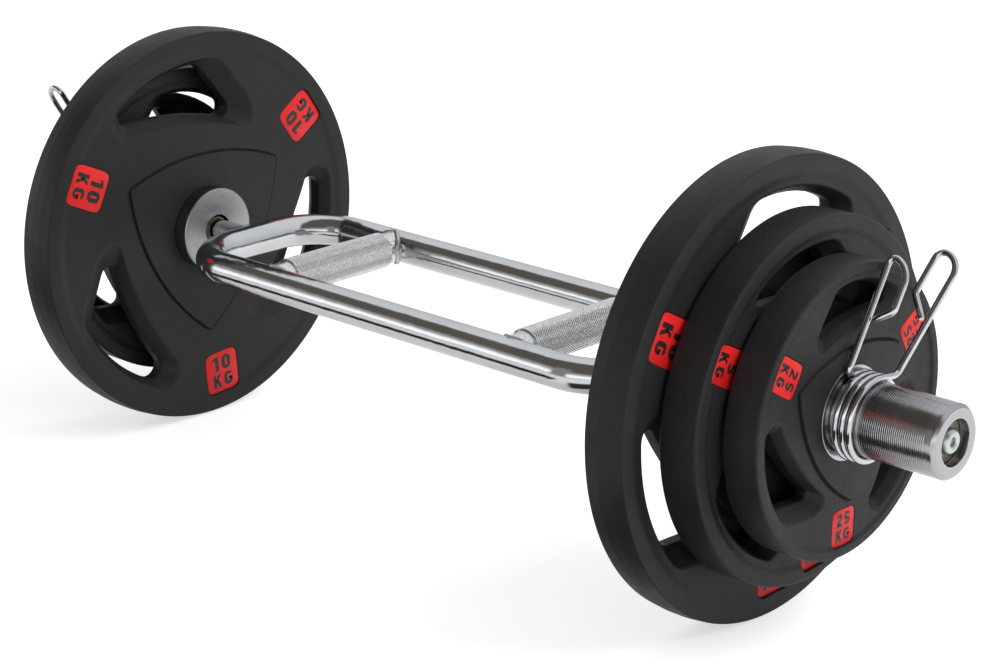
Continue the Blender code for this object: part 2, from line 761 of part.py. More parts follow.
def coil_outline(x_start, inner_root, outer_root):
    turned_angle = 360.0 * CLIP_FULL_TURNS + CLIP_START - CLIP_END
    count = round(turned_angle / 360.0 * CLIP_POINTS_PER_TURN)
    step = turned_angle / count
    x_end = x_start + CLIP_PITCH * turned_angle / 360.0
    corner_radius = COIL_RADIUS / math.cos(math.radians(step / 2.0))

    first = Vector((x_start, *(unit(CLIP_START) * COIL_RADIUS)))
    last = Vector((x_end, *(unit(CLIP_END) * COIL_RADIUS)))
    root = Vector((x_start, *inner_root))
    stub_end = arm_stub_end(INNER_ARM, inner_root, CLIP_START + 90.0)
    stub = arm_point(INNER_ARM, inner_root, x_start, stub_end, 0.0)
    points = [stub, *fillet(stub, root, first, INNER_ARM["root_bend"], 5), first]
    for i in range(count):
        share = (i + 0.5) / count
        place = unit(CLIP_START - share * turned_angle) * corner_radius
        points.append(Vector((x_start + share * (x_end - x_start), *place)))
    root = Vector((x_end, *outer_root))
    stub_end = arm_stub_end(OUTER_ARM, outer_root, CLIP_END - 90.0)
    stub = arm_point(OUTER_ARM, outer_root, x_end, stub_end, 0.0)
    points += [last, *fillet(last, root, stub, OUTER_ARM["root_bend"], 3), stub]
    return points, x_end


# Least gap between stretches of the wire that are not neighbours along it
def least_self_gap(points, radius):
    samples, lengths, length = [], [], 0.0
    for start, end in zip(points, points[1:]):
        parts = max(1, math.ceil((end - start).length / (0.5 * radius)))
        for i in range(parts):
            samples.append(start.lerp(end, i / parts))
            lengths.append(length + (end - start).length * i / parts)
        length += (end - start).length
    least = math.inf
    for i, sample in enumerate(samples):
        for j in range(i + 1, len(samples)):
            if lengths[j] - lengths[i] > SELF_GAP_REACH * radius:
                least = min(least, (sample - samples[j]).length)
    return least - 2.0 * radius


def make_clip(side, x_face, hub, parts, materials):
    material = materials["spring_chrome"]
    x_start = x_face + CLIP_STANDOFF[side] + WIRE_RADIUS
    inner_root = arm_root(INNER_ARM, CLIP_START, CLIP_START + 90.0)
    outer_root = arm_root(OUTER_ARM, CLIP_END, CLIP_END - 90.0)
    points, x_end = coil_outline(x_start, inner_root, outer_root)
    turn = math.radians(CLIP_TURN[side])
    coil = tube("clip_coil_" + side, points, WIRE_RADIUS, 1, hub, parts, material)
    coil.rotation_euler = (turn, 0.0, 0.0)
    print("least gap between the turns of clip_coil_%s: %.2f mm"
          % (side, 1000.0 * least_self_gap(points, WIRE_RADIUS)))
    arms = (
        ("clip_arm_inner_", INNER_ARM, inner_root, CLIP_START + 90.0, x_start, TOUCH_GAP),
        ("clip_arm_outer_", OUTER_ARM, outer_root, CLIP_END - 90.0, x_end, CLIP_CUT_GAP),
    )
    for name, arm, root, heading, x_root, gap in arms:
        base = arm_stub_end(arm, root, heading) + gap
        outline = arm_outline(arm, root, x_root, base)
        loop = tube(name + side, outline, WIRE_RADIUS, 1, hub, parts, material)
        loop.rotation_euler = (turn, 0.0, 0.0)


def make_side(side, root, parts, cutters, materials):
    hub = add_empty("bar_axis_" + side, (0.0, 0.0, 0.0), SIDES[side], parts, root)
    make_end_bow(side, hub, parts, materials)
    make_shaft(side, hub, parts, cutters, materials)
    make_shaft_end(side, hub, parts, cutters, materials)
    make_sleeve(side, hub, parts, materials)
    x = FLANGE_OUTER_X + TOUCH_GAP
    for size, plate in PLATES.items():
        make_plate(size, side, x, hub, parts, cutters, materials)
        x += plate["width"] + TOUCH_GAP
    make_clip(side, x - TOUCH_GAP, hub, parts, materials)


def shade(parts):
    for item in parts.objects:
        if item.type == "MESH":
            item.data.shade_smooth()
            item.data.set_sharp_from_angle(angle=math.radians(35.0))


def main():
    clear_scene()
    materials = make_materials()
    parts = make_collection("triceps_bar")
    cutters = make_collection("cutters")
    root = add_empty("bar_center", (0.0, 0.0, AXIS_HEIGHT), 0.0, parts)
    make_frame(root, parts, cutters, materials)
    for side in SIDES:
        make_side(side, root, parts, cutters, materials)
    shade(parts)


main()
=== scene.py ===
from math import asin, cos, pi, radians, sin, sqrt, tan

import bmesh
import bpy
import numpy as np
from numpy.linalg import norm
from mathutils import Matrix, Vector
from mathutils.geometry import delaunay_2d_cdt


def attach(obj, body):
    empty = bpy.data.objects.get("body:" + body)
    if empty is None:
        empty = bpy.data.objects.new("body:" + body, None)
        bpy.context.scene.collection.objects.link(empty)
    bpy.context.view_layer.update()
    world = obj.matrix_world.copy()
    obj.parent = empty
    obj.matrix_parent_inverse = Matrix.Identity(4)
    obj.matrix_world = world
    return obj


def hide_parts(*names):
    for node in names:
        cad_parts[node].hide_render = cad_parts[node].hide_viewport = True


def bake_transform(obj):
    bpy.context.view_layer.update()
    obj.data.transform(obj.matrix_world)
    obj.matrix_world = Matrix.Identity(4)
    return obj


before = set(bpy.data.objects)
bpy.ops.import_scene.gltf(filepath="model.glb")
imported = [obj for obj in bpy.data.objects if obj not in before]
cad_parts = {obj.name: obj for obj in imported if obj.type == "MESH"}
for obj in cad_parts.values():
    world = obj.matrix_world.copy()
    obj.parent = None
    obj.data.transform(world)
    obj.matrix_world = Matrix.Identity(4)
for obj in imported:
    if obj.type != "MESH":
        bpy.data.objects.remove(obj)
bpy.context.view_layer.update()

# Each side with the sign of its X and Y
SIDES = {"right": 1, "left": -1}
AXIS_HEIGHT = 0.16
TOUCH_GAP = 0.0003

# Frame
FRAME_HALF_LENGTH = 0.216
RAIL_OFFSET = 0.068
RAIL_RADIUS = 0.0125
RAIL_INSIDE = RAIL_OFFSET - RAIL_RADIUS
RAIL_STEPS = 48
RAIL_AROUND = 64
CORNER_RADIUS = 0.0445
CORNER_STEPS = 30
GRIP_OFFSET = 0.122
GRIP_RADIUS = 0.0143
GRIP_NECK_RADIUS = 0.0122
GRIP_NECK_LENGTH = 0.0055
GRIP_SUNK = 0.0004
KNURL_AROUND = 96
KNURL_PITCH = 0.00125
KNURL_DEPTH = 0.0005
KNURL_STEP = 0.0012
KNURL_END_SHARE = 0.7
BEAD_STEPS = 120
GRIP_BEADS = {"front": 0.0012, "rear": 0.0018}
SHAFT_BEAD = 0.0015

# Shaft, washer and screw
SHAFT_RADIUS = 0.009
WASHER_RADIUS = 0.0152
WASHER_THICKNESS = 0.0025
SCREW_HEAD_RADIUS = 0.00885
SCREW_HEAD_HEIGHT = 0.0055
SCREW_HEAD_EDGE = 0.0009
SCREW_FLAT_SHARE = 0.66
SCREW_SHANK_RADIUS = 0.005
SCREW_SHANK_LENGTH = 0.028
SOCKET_WIDTH = 0.006
SOCKET_DEPTH = 0.0032
# Depths in the socket, and its width there as a share
SOCKET_SECTION = ((0, 1.42), (0.0009, 1), (SOCKET_DEPTH, 1), (SOCKET_DEPTH + 0.0012, 0.02))

# Sleeve
FLANGE_INNER_X = 0.26
FLANGE_OUTER_X = 0.2728
FLANGE_RADIUS = 0.034
FLANGE_SEAT_DEPTH = 0.0068
SLEEVE_RADIUS = 0.025
SLEEVE_END_X = 0.4412
SLEEVE_CHAMFER = 0.0024
SLEEVE_BORE = 0.01243
SLEEVE_AROUND = 144
END_RECESS = 0.007
SHAFT_END_X = SLEEVE_END_X - END_RECESS - WASHER_THICKNESS - TOUCH_GAP
RIDGES_START = 0.002
RIDGE_PITCH = 0.0015
RIDGE_DEPTH = 0.00007
# Places along a ridge's pitch, and the groove's depth there as a share
RIDGE_SECTION = ((0, 0), (0.32, 0), (0.5, 1), (0.82, 1))
PLAIN_END = 0.0068
BUSH_RECESS = 0.0015
BUSH_LENGTH = 0.025
BUSH_RADIUS = 0.0119
BUSH_BORE = 0.0093
BUSH_LIP_RADIUS = 0.0103
BUSH_TAPER = 0.005

# Plates
RING_BORE = 0.0255
RING_RADIUS = 0.032
HUB_RADIUS = RING_RADIUS + TOUCH_GAP
PAD_HEIGHT = 0.0017
PAD_BELOW_RING = 0.0002
EDGE_ROUNDING = 0.0042
TREAD_WIDTH = 0.0094
THROAT_SHARE = 0.333
PAD_TURN = 5
PAD_TIP_BEND = 0.0028
LIP_START_SHARE = 0.9
LIP_TOP_SHARE = 0.5
LIP_RINGS = 7
PLATE_AROUND = 240
HUB_AROUND = 120
PLATES = {
    "10": dict(radius=0.16, width=0.0317, rim=0.022, crown=0.0012, pad_corner=0.088,
               pad_side=0.06, hand=-1, turn={"right": 91.3, "left": 85},
               label=(0.128, 0.0328, 0.0348), words=("10", "KG"), look="rubber_smooth"),
    "5": dict(radius=0.125, width=0.0297, rim=0.017, crown=0, pad_corner=0.069,
              pad_side=0.047, hand=1, turn={"right": 93, "left": 91},
              label=(0.1047, 0.0255, 0.0268), words=("5", "KG"), look="rubber_grained"),
    "2_5": dict(radius=0.0998, width=0.0275, rim=0.0113, crown=0, pad_corner=0.062,
                pad_side=0.044, hand=-1, turn={"right": 89.3, "left": 90},
                label=(0.0795, 0.0237, 0.0252), words=("25", "KG"), look="rubber_grained"),
}
# Distances out of the pad's outline, and heights there as shares of the pad's
PAD_SECTION = [(-0.0007, 1), (-0.0004, 0.95), (-0.00015, 0.78), (0, 0.2), (0.00015, -0.4),
               (0.0005, -0.6), (0.001, -0.55), (0.0014, -0.3), (0.0018, 0)]
MOUTH_CORNERS = [((-0.435, 0.507), 0.07), ((-0.438, 0.667), 0.2), ((-0.232, 0.97), 0.14),
                 ((0.58, 0.812), 0.1), ((0.562, 0.667), 0.09)]
MOUTH_OUTER_RADIUS = 1
MOUTH_HUB_BULGE = 0.047
THROAT_CORNERS = [((-0.322, 0.583), 0.045), ((-0.297, 0.674), 0.15), ((-0.116, 0.945), 0.12),
                  ((0.496, 0.819), 0.065), ((0.482, 0.725), 0.065)]
THROAT_OUTER_RADIUS = 0.957
THROAT_HUB_BULGE = 0.033
HOLES = 3
MOUTH_BEND = 0.0017
THROAT_BEND = 0.0014

# Labels: each has two words, with places, heights and widths as shares of the label
SEAT_DEPTH = 0.0006
SEAT_GROWTH = (0.0004, 0.0009)
LABEL_THICKNESS = 0.0004
LABEL_STEPS = 72
LABEL_SQUARENESS = 6.5
INK_THICKNESS = 0.00006
WORD_PLACES = (0.215, -0.215)
WORD_HEIGHTS = (0.365, 0.335)
WORD_WIDTHS = (0.59, 0.63)
ONE_SIGN_SHARE = 0.46
LETTER_STROKE = 0.235
LETTER_GAP = 0.2

# Spring clip
WIRE_RADIUS = 0.0023
WIRE_STEP = 0.0022
WIRE_TIP_SHARES = (0.72, 0.93)
COIL_RADIUS = 0.02782
COIL_STEPS = 180
PLATES_END_X = 0.3626
CLIP_STANDOFF = {"right": 0.0005, "left": 0.0125}
CLIP_TURN = {"right": 0, "left": 10}
CLIP_PITCH = 0.0053
CLIP_TURNS = 3
CLIP_START = 97
CLIP_END = 81.5
INNER_ARM = dict(angle=58.5, lean=0, loop_x=1, offset=-0.02522, top=0.10275,
                 shoulder=0.09375, corner=0.06565, spacing=0.0164, closing_lean=33.7,
                 bends=(0.0045, 0.0045, 0.016, 0.005))
OUTER_ARM = dict(angle=51.9, lean=6.84, loop_x=-1, offset=0.0004, top=0.1168,
                 shoulder=0.1218, corner=0.0884, spacing=0.019, closing_lean=47.5,
                 bends=(0.008, 0.0138, 0.006, 0.005))
ARM_BEND_STEPS = (12, 16, 16, 10)
# Along each arm, lengths from the bar's axis where the wire would start and end to follow the arm
# when it is squeezed
ARM_FLEX = {"inner": (0.0302, 0.04), "outer": (0.04, 0.05)}

# Looks: colour, roughness, waviness and smear
PLATED = {
    "chrome": ((0.66, 0.67, 0.68), 0.13, 0.45),
    "spring_chrome": ((0.64, 0.65, 0.67), 0.09, 0.12),
    "weld_chrome": ((0.62, 0.63, 0.63), 0.3, 0.9, 0.1),
    "zinc": ((0.62, 0.66, 0.63), 0.36, 0.5, 0.1),
}
# Colour, roughness, the marks' fineness and depth, the shine's stretch and the marks' painted
# shade in their grooves
TURNED = {
    "shaft_steel": ((0.66, 0.67, 0.68), 0.16, 900, 0.06),
    "turned_steel": ((0.44, 0.45, 0.46), 0.32, 700, 0.08, 0.85, 0.74),
    "sleeve_steel": ((0.47, 0.47, 0.48), 0.2, 1100, 0.12),
    "ring_steel": ((0.55, 0.57, 0.6), 0.27, 1300, 0.3),
    "dark_washer": ((0.3, 0.25, 0.21), 0.27, 1200, 0.12),
    "bronze": ((0.3, 0.25, 0.18), 0.4, 1100, 0.3),
}
# Colour, roughness, the grain's fineness and depth, and whether it has scuffs
MOULDED = {
    "cast_iron": ((0.09, 0.09, 0.095), 0.7, 420, 0.0004, False),
    "rubber_smooth": ((0.02, 0.02, 0.0204), 0.5, 1500, 0.00008, True),
    "rubber_grained": ((0.0195, 0.0195, 0.0195), 0.5, 950, 0.0003, False),
}
# Start values, grain's scale and detail, limits between the shades, the shades, and roughness.
# The knurl's darker shade is painted shade for its grooves, laid as a fine noise, which gives the
# grip its grain
GRAINED = {
    "knurled_chrome": (((0.76, 0.77, 0.77), 0.28, 1), (950, 1), (0.38, 0.62),
                       ((0.58, 0.58, 0.57), (0.93, 0.94, 0.94)), (0.35, 0.65, 0.34, 0.22)),
    "label_red": (((0.72, 0.016, 0.016), 0.42, 0, 0.35), (120, 4), (0.35, 0.7),
                  ((0.68, 0.018, 0.018), (0.76, 0.015, 0.015)), (0.3, 0.7, 0.34, 0.48), True),
    "label_black": (((0.016, 0.014, 0.014), 0.5), (700, 2), (0, 1),
                    ((0.012, 0.01, 0.01), (0.022, 0.018, 0.018)), (0.3, 0.7, 0.42, 0.58)),
}

# Stage: cards that only reflections show, as a studio's flags. Each has its colour, its ends
# in X, and the Y and Z of its near and far edge
FLOOR_HALF = 14
CARDS = {
    "dark_card": ((0.012, 0.011, 0.01), (-1.1, 0.02), (-0.42, 0.002), (-0.235, 0.002)),
    "brown_card": ((0.05, 0.036, 0.028), (0.14, 0.6), (-0.32, 0.002), (-0.135, 0.002)),
    "grey_card": ((0.3, 0.28, 0.28), (-0.46, 0.02), (-1, 0.08), (-1, 0.95)),
}
# Each lamp's place, size and power
LAMPS = {"key": ((1.6, 0.7, 1.8), 1.6, 40), "fill": ((-0.5, -2.2, 1.6), 2, 3)}
LAMP_AIM = Vector((0, 0, 0.15))
CAMERA_LENS = 88.02
CAMERA_PLACE = (1.20766, -1.22747, 0.7047)
# The camera's right, up and back
CAMERA_AXES = ((0.7282, 0.6854, 0), (-0.2164, 0.23, 0.9489), (0.6503, -0.6909, 0.3158))


# Node materials

class Nodes:
    def __init__(self, owner):
        owner.use_nodes = True
        self.owner, self.tree = owner, owner.node_tree

    # Gives a socket what another socket gives out, or a constant
    def feed(self, target, value):
        if isinstance(value, bpy.types.NodeSocket):
            self.tree.links.new(value, target)
        elif target.type == "RGBA":
            target.default_value = (*value, 1)
        else:
            target.default_value = value

    def add(self, kind, inputs=None, **settings):
        node = self.tree.nodes.new("ShaderNode" + kind)
        for name, value in settings.items():
            setattr(node, name, value)
        for name, value in (inputs or {}).items():
            self.feed(node.inputs[name], value)
        return node

    def place(self, scale=(1, 1, 1), spin=(0, 0, 0)):
        vector = self.add("TexCoord").outputs["Object"]
        return self.add("Mapping", {"Vector": vector, "Scale": scale,
                                    "Rotation": spin}).outputs["Vector"]

    def axes(self, space):
        parts = self.add("SeparateXYZ", {"Vector": self.add("TexCoord").outputs[space]})
        return [parts.outputs[axis] for axis in "XYZ"]

    def noise(self, vector, scale, detail=3, roughness=0.55):
        return self.add("TexNoise", {"Vector": vector, "Scale": scale, "Detail": detail,
                                     "Roughness": roughness}).outputs["Fac"]

    def cells(self, vector, scale):
        return self.add("TexVoronoi", {"Vector": vector, "Scale": scale}).outputs["Distance"]

    def spread(self, value, low, high, to_low=0, to_high=1, **settings):
        return self.add("MapRange", {"Value": value, "From Min": low, "From Max": high,
                                     "To Min": to_low, "To Max": to_high},
                        **settings).outputs["Result"]

    def sum(self, first, second, operation="ADD"):
        node = self.add("Math", operation=operation)
        for socket, value in zip(node.inputs, (first, second)):
            self.feed(socket, value)
        return node.outputs["Value"]

    def blend(self, factor, first, second):
        return self.add("Mix", {"Factor": factor, "A": first, "B": second},
                        data_type="RGBA").outputs["Result"]

    def bump(self, height, strength, distance, before=None):
        node = self.add("Bump", {"Height": height, "Strength": strength, "Distance": distance})
        if before:
            self.feed(node.inputs["Normal"], before)
        return node.outputs["Normal"]

    def finish(self, color, roughness, normal=None):
        for name, value in (("Base Color", color), ("Roughness", roughness), ("Normal", normal)):
            if value:
                self.feed(self.shader.inputs[name], value)
        return self.owner


def start_material(name, color, roughness, metallic=0, specular=0.5):
    nodes = Nodes(bpy.data.materials.new(name))
    nodes.owner.diffuse_color = (*color, 1)
    nodes.shader = nodes.tree.nodes["Principled BSDF"]
    for socket, value in (("Base Color", color), ("Roughness", roughness),
                          ("Metallic", metallic), ("Specular IOR Level", specular)):
        nodes.feed(nodes.shader.inputs[socket], value)
    return nodes


# Polished plating with the slight waviness of the bent steel below it
def plated(name, color, roughness, wave, smear=0.04):
    nodes = start_material(name, color, roughness, 1)
    place = nodes.place()
    drift = nodes.noise(place, 34, 2)
    fine = nodes.noise(place, 260, 4)
    rough = nodes.spread(nodes.sum(drift, fine, "MULTIPLY"), 0.12, 0.42, roughness - smear * 0.4,
                         roughness + smear)
    shade = nodes.blend(nodes.spread(drift, 0.35, 0.7), [0.93 * part for part in color], color)
    wavy = nodes.bump(nodes.noise(place, 75, 1), wave, 0.0006)
    return nodes.finish(shade, rough, nodes.bump(fine, 0.06, 0.0002, wavy))


# Turned or ground steel with fine marks that run round the bar's axis, and painted shade in the
# marks' grooves
def turned_metal(name, color, roughness, marks, strength, stretch=0, groove_painted_shade=0.86):
    nodes = start_material(name, color, roughness, 1)
    if stretch:
        nodes.feed(nodes.shader.inputs["Anisotropic"], stretch)
        around = nodes.add("Tangent", direction_type="RADIAL", axis="X")
        nodes.feed(nodes.shader.inputs["Tangent"], around.outputs["Tangent"])
    x, y, z = nodes.axes("Object")
    height = nodes.sum(z, AXIS_HEIGHT, "SUBTRACT")
    square = nodes.sum(nodes.sum(y, y, "MULTIPLY"), nodes.sum(height, height, "MULTIPLY"))
    both = nodes.add("CombineXYZ", {"X": nodes.sum(square, 0.5, "POWER"), "Y": x})
    lines = nodes.noise(both.outputs["Vector"], marks, 3, 0.6)
    cloud = nodes.noise(nodes.place(), 55, 3)
    rough = nodes.spread(nodes.sum(lines, cloud), 0.7, 1.3, roughness * 0.75, roughness * 1.3)
    # Painted shade: the colour darkens where the marks' bump has its grooves
    shade = nodes.blend(nodes.spread(lines, 0.35, 0.65), [groove_painted_shade * part for part in color], color)
    return nodes.finish(shade, rough, nodes.bump(lines, strength, 0.0002))


# Rubber, or cast iron, with a pebbled grain, and specks or scuffs of a lighter shade
def moulded(name, color, roughness, grain, depth, scuffs):
    nodes = start_material(name, color, roughness, 0, 0.25)
    place = nodes.place()
    cloud = nodes.noise(place, 22, 4, 0.6)
    patches = nodes.noise(place, 90, 3)
    rough = nodes.spread(nodes.sum(cloud, patches), 0.7, 1.35, roughness - 0.07, roughness + 0.07)
    if scuffs:
        streaks = nodes.noise(nodes.place((3, 9, 1), (0.7, 0, 0)), 95, 5, 0.75)
        marks = nodes.spread(nodes.sum(streaks, nodes.noise(place, 14, 2), "MULTIPLY"),
                             0.3, 0.48)
    else:
        marks = nodes.spread(nodes.noise(place, grain * 0.9, 1), 0.56, 0.72)
    clouds = nodes.spread(cloud, 0.35, 0.75, 0, 0.55 if scuffs else 0.5)
    shade = nodes.blend(nodes.sum(clouds, marks), [0.82 * part for part in color],
                        [1.22 * part for part in color])
    bumps = nodes.sum(nodes.noise(place, grain, 3, 0.65), nodes.cells(place, grain * 0.7))
    low = nodes.bump(nodes.noise(place, 40, 2), 0.12, 0.0008)
    return nodes.finish(shade, rough, nodes.bump(bumps, 0.55, depth, low))


# A grain in two shades, with its own roughness and perhaps a fine bump
def grained(name, start, noise, limits, shades, rough, bump=False):
    nodes = start_material(name, *start)
    place = nodes.place()
    grain = nodes.noise(place, *noise)
    normal = nodes.bump(nodes.noise(place, 700, 2), 0.15, 0.0002) if bump else None
    return nodes.finish(nodes.blend(nodes.spread(grain, *limits), *shades),
                        nodes.spread(grain, *rough), normal)


def make_looks():
    makers = ((plated, PLATED), (turned_metal, TURNED), (moulded, MOULDED), (grained, GRAINED))
    return {name: maker(name, *values) for maker, table in makers
            for name, values in table.items()}


# Mesh making

def placed(side, points):
    out = np.array(points, float).reshape(-1, 3)
    out[:, :2] *= SIDES[side]
    out[:, 2] += AXIS_HEIGHT
    return out


def add_object(name, data):
    item = bpy.data.objects.new(name, data)
    bpy.context.scene.collection.objects.link(item)
    return item


def add_piece(name, points, faces, look, body, slot, replaced=(), sharp=32, weighted=False,
              rides=True):
    mesh = bpy.data.meshes.new(name)
    shape = bmesh.new()
    corners = [shape.verts.new(point) for point in points]
    for face in faces:
        shape.faces.new([corners[i] for i in face])
    bmesh.ops.remove_doubles(shape, verts=shape.verts, dist=1e-6)
    bmesh.ops.dissolve_degenerate(shape, edges=shape.edges, dist=1e-7)
    bmesh.ops.recalc_face_normals(shape, faces=shape.faces)
    shape.to_mesh(mesh)
    shape.free()
    mesh.shade_smooth()
    if sharp:
        mesh.set_sharp_from_angle(angle=radians(sharp))
    else:
        mesh.shade_flat()
    mesh.materials.append(looks[look])
    item = add_object(name, mesh)
    if weighted:
        fair = item.modifiers.new("Fair", "WEIGHTED_NORMAL")
        fair.keep_sharp = True
        fair.weight = 90
    if rides:
        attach(item, body)
    if replaced:
        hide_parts(*replaced)
    return item


# A piece of one side, built along +X, that stands in for solids of the same side
def add_side_piece(side, name, mesh, look, body, nodes, **options):
    verts, faces = mesh
    return add_piece(f"{name}_{side}", placed(side, verts), faces, look, body, look,
                     [f"{node}_{side}" for node in nodes], **options)


def round_angles(count):
    return [2 * pi * k / count for k in range(count)]


def ring_faces(rows, columns, closed=False, offset=0):
    faces = []
    for i in range(rows if closed else rows - 1):
        j = (i + 1) % rows
        for k in range(columns):
            n = (k + 1) % columns
            faces.append((offset + i * columns + k, offset + i * columns + n,
                          offset + j * columns + n, offset + j * columns + k))
    return faces


# Circles round the X axis, one for each place and radius of a profile
def circles(profile, steps):
    angles = np.array(round_angles(steps))
    x, r = np.array(profile, float).T[:, :, None]
    return np.stack([x + 0 * angles, r * np.cos(angles), r * np.sin(angles)], 2).reshape(-1, 3)


def lathe(profile, steps):
    return circles(profile, steps), ring_faces(len(profile), steps, closed=True)


# Points of a curve from start to end that heads for the corner between them
def curve(start, corner, end, steps):
    return [start * (1 - t) ** 2 + corner * 2 * t * (1 - t) + end * t ** 2
            for t in (k / steps for k in range(steps + 1))]


# A section's corners are (place along the axis, radius, bend); bends are rounded off
def soften(corners, steps=5):
    points = []
    for i, (x, r, bend) in enumerate(corners):
        if bend <= 0:
            points.append((x, r))
            continue
        here = Vector((x, r))
        before = Vector(corners[i - 1][:2]) - here
        after = Vector(corners[(i + 1) % len(corners)][:2]) - here
        reach = min(bend, 0.49 * before.length, 0.49 * after.length)
        points += [tuple(point) for point in curve(here + before.normalized() * reach, here,
                                                   here + after.normalized() * reach, steps)]
    return points


# A tube along points, with its section turned as little as may be
def sweep(points, radii, sides, caps=True):
    points = [Vector(point) for point in points]
    count = len(points)
    tangents = [(points[min(i + 1, count - 1)] - points[max(i - 1, 0)]).normalized()
                for i in range(count)]
    helper = Vector((0, 0, 1)) if abs(tangents[0].z) < 0.9 else Vector((0, 1, 0))
    normal = tangents[0].cross(helper).normalized()
    rings = []
    for i, point in enumerate(points):
        if i:
            normal = tangents[i - 1].rotation_difference(tangents[i]) @ normal
        normal = (normal - tangents[i] * normal.dot(tangents[i])).normalized()
        other = tangents[i].cross(normal)
        rings += [point + (normal * cos(a) + other * sin(a)) * radii[i]
                  for a in round_angles(sides)]
    faces = ring_faces(count, sides)
    if caps:
        faces.append(tuple(range(sides))[::-1])
        faces.append(tuple((count - 1) * sides + k for k in range(sides)))
    return rings, faces


def arc(center, first, last, steps):
    start, end = first - center, last - center
    angle = start.angle(end)
    points = []
    for i in range(steps + 1):
        share = i / steps
        mixed = start * sin((1 - share) * angle) + end * sin(share * angle)
        points.append(center + mixed / sin(angle))
    return points


def fillet(before, corner, after, radius, steps):
    to_start = (before - corner).normalized()
    to_end = (after - corner).normalized()
    half_angle = to_start.angle(to_end) / 2
    reach = radius / tan(half_angle)
    center = corner + (to_start + to_end).normalized() * (radius / sin(half_angle))
    return arc(center, corner + to_start * reach, corner + to_end * reach, steps)


# Rounded corner where a hole's side, through two points, meets its edge along the rim
def rim_corner(start, corner, rim_radius, bend, steps):
    along = (corner - start).normalized()
    inward = Vector((along.y, -along.x))
    if inward.x * start.x > 0:
        inward = -inward
    base = start + inward * bend
    reach = base.dot(along)
    run = sqrt(reach ** 2 - base.length_squared + (rim_radius - bend) ** 2) - reach
    center = base + along * run
    return arc(center, center - inward * bend, center.normalized() * rim_radius, steps)


def bow(start, end, height, steps):
    chord = end - start
    half = chord.length / 2
    radius = (half * half + height * height) / (2 * height)
    outward = Vector((-chord.y, chord.x)).normalized()
    center = (start + end) / 2 + outward * (height - radius)
    points = []
    for i in range(1, steps):
        angle = (2 * i / steps - 1) * asin(half / radius)
        points.append(center + chord.normalized() * sin(angle) * radius
                      + outward * cos(angle) * radius)
    return points


# Frame

def wobble(angle, seed):
    return (sin(3 * angle + seed) + 0.7 * sin(7 * angle + 2.3 * seed)
            + 0.5 * sin(13 * angle + 4.1 * seed) + 0.4 * sin(23 * angle + seed))


# How far the frame's tube falls back from its side at a height off its middle
def tube_gap(up):
    return RAIL_RADIUS - sqrt(RAIL_RADIUS ** 2 - up ** 2)


# A bead along the line where a round bar meets the side of the frame's tube
def weld_bead(name, bar_radius, place, slot, size, seed):
    points, radii = [], []
    for i in range(BEAD_STEPS + 1):
        angle = 2 * pi * i / BEAD_STEPS
        up = bar_radius * sin(angle)
        points.append(place(tube_gap(up) - 0.2 * size, bar_radius * cos(angle) * 1.02, up * 1.02))
        radii.append(size * (1 + 0.13 * wobble(angle, seed) + 0.1 * sin(40 * angle)))
    radii[-1] = radii[0]
    add_piece(name, *sweep(points, radii, 14, caps=False), "weld_chrome", "frame", slot,
              sharp=80)


def make_frame():
    straight = FRAME_HALF_LENGTH - CORNER_RADIUS
    turn_y = RAIL_OFFSET - CORNER_RADIUS
    stations = []
    for k, (x, y) in enumerate(((straight, -turn_y), (straight, turn_y), (-straight, turn_y),
                                (-straight, -turn_y))):
        for i in range(CORNER_STEPS + 1):
            angle = radians(90 * (k - 1 + i / CORNER_STEPS))
            out = Vector((cos(angle), sin(angle), 0))
            stations.append((Vector((x, y, AXIS_HEIGHT)) + out * CORNER_RADIUS, out))
        if k % 2:
            start, out = stations[-1]
            run = (1 if k == 3 else -1) * 2 * straight
            stations += [(start + Vector((run * i / RAIL_STEPS, 0, 0)), out)
                         for i in range(1, RAIL_STEPS)]
    verts = [point + (out * cos(a) + Vector((0, 0, sin(a)))) * RAIL_RADIUS
             for point, out in stations for a in round_angles(RAIL_AROUND)]
    add_piece("frame_tube", verts, ring_faces(len(stations), RAIL_AROUND, closed=True),
              "chrome", "frame", "chrome",
              ["rail_front", "rail_rear", "end_bow_right", "end_bow_left"])
    for side in SIDES:
        make_shaft(side)
    for side in SIDES:
        make_grip(side)


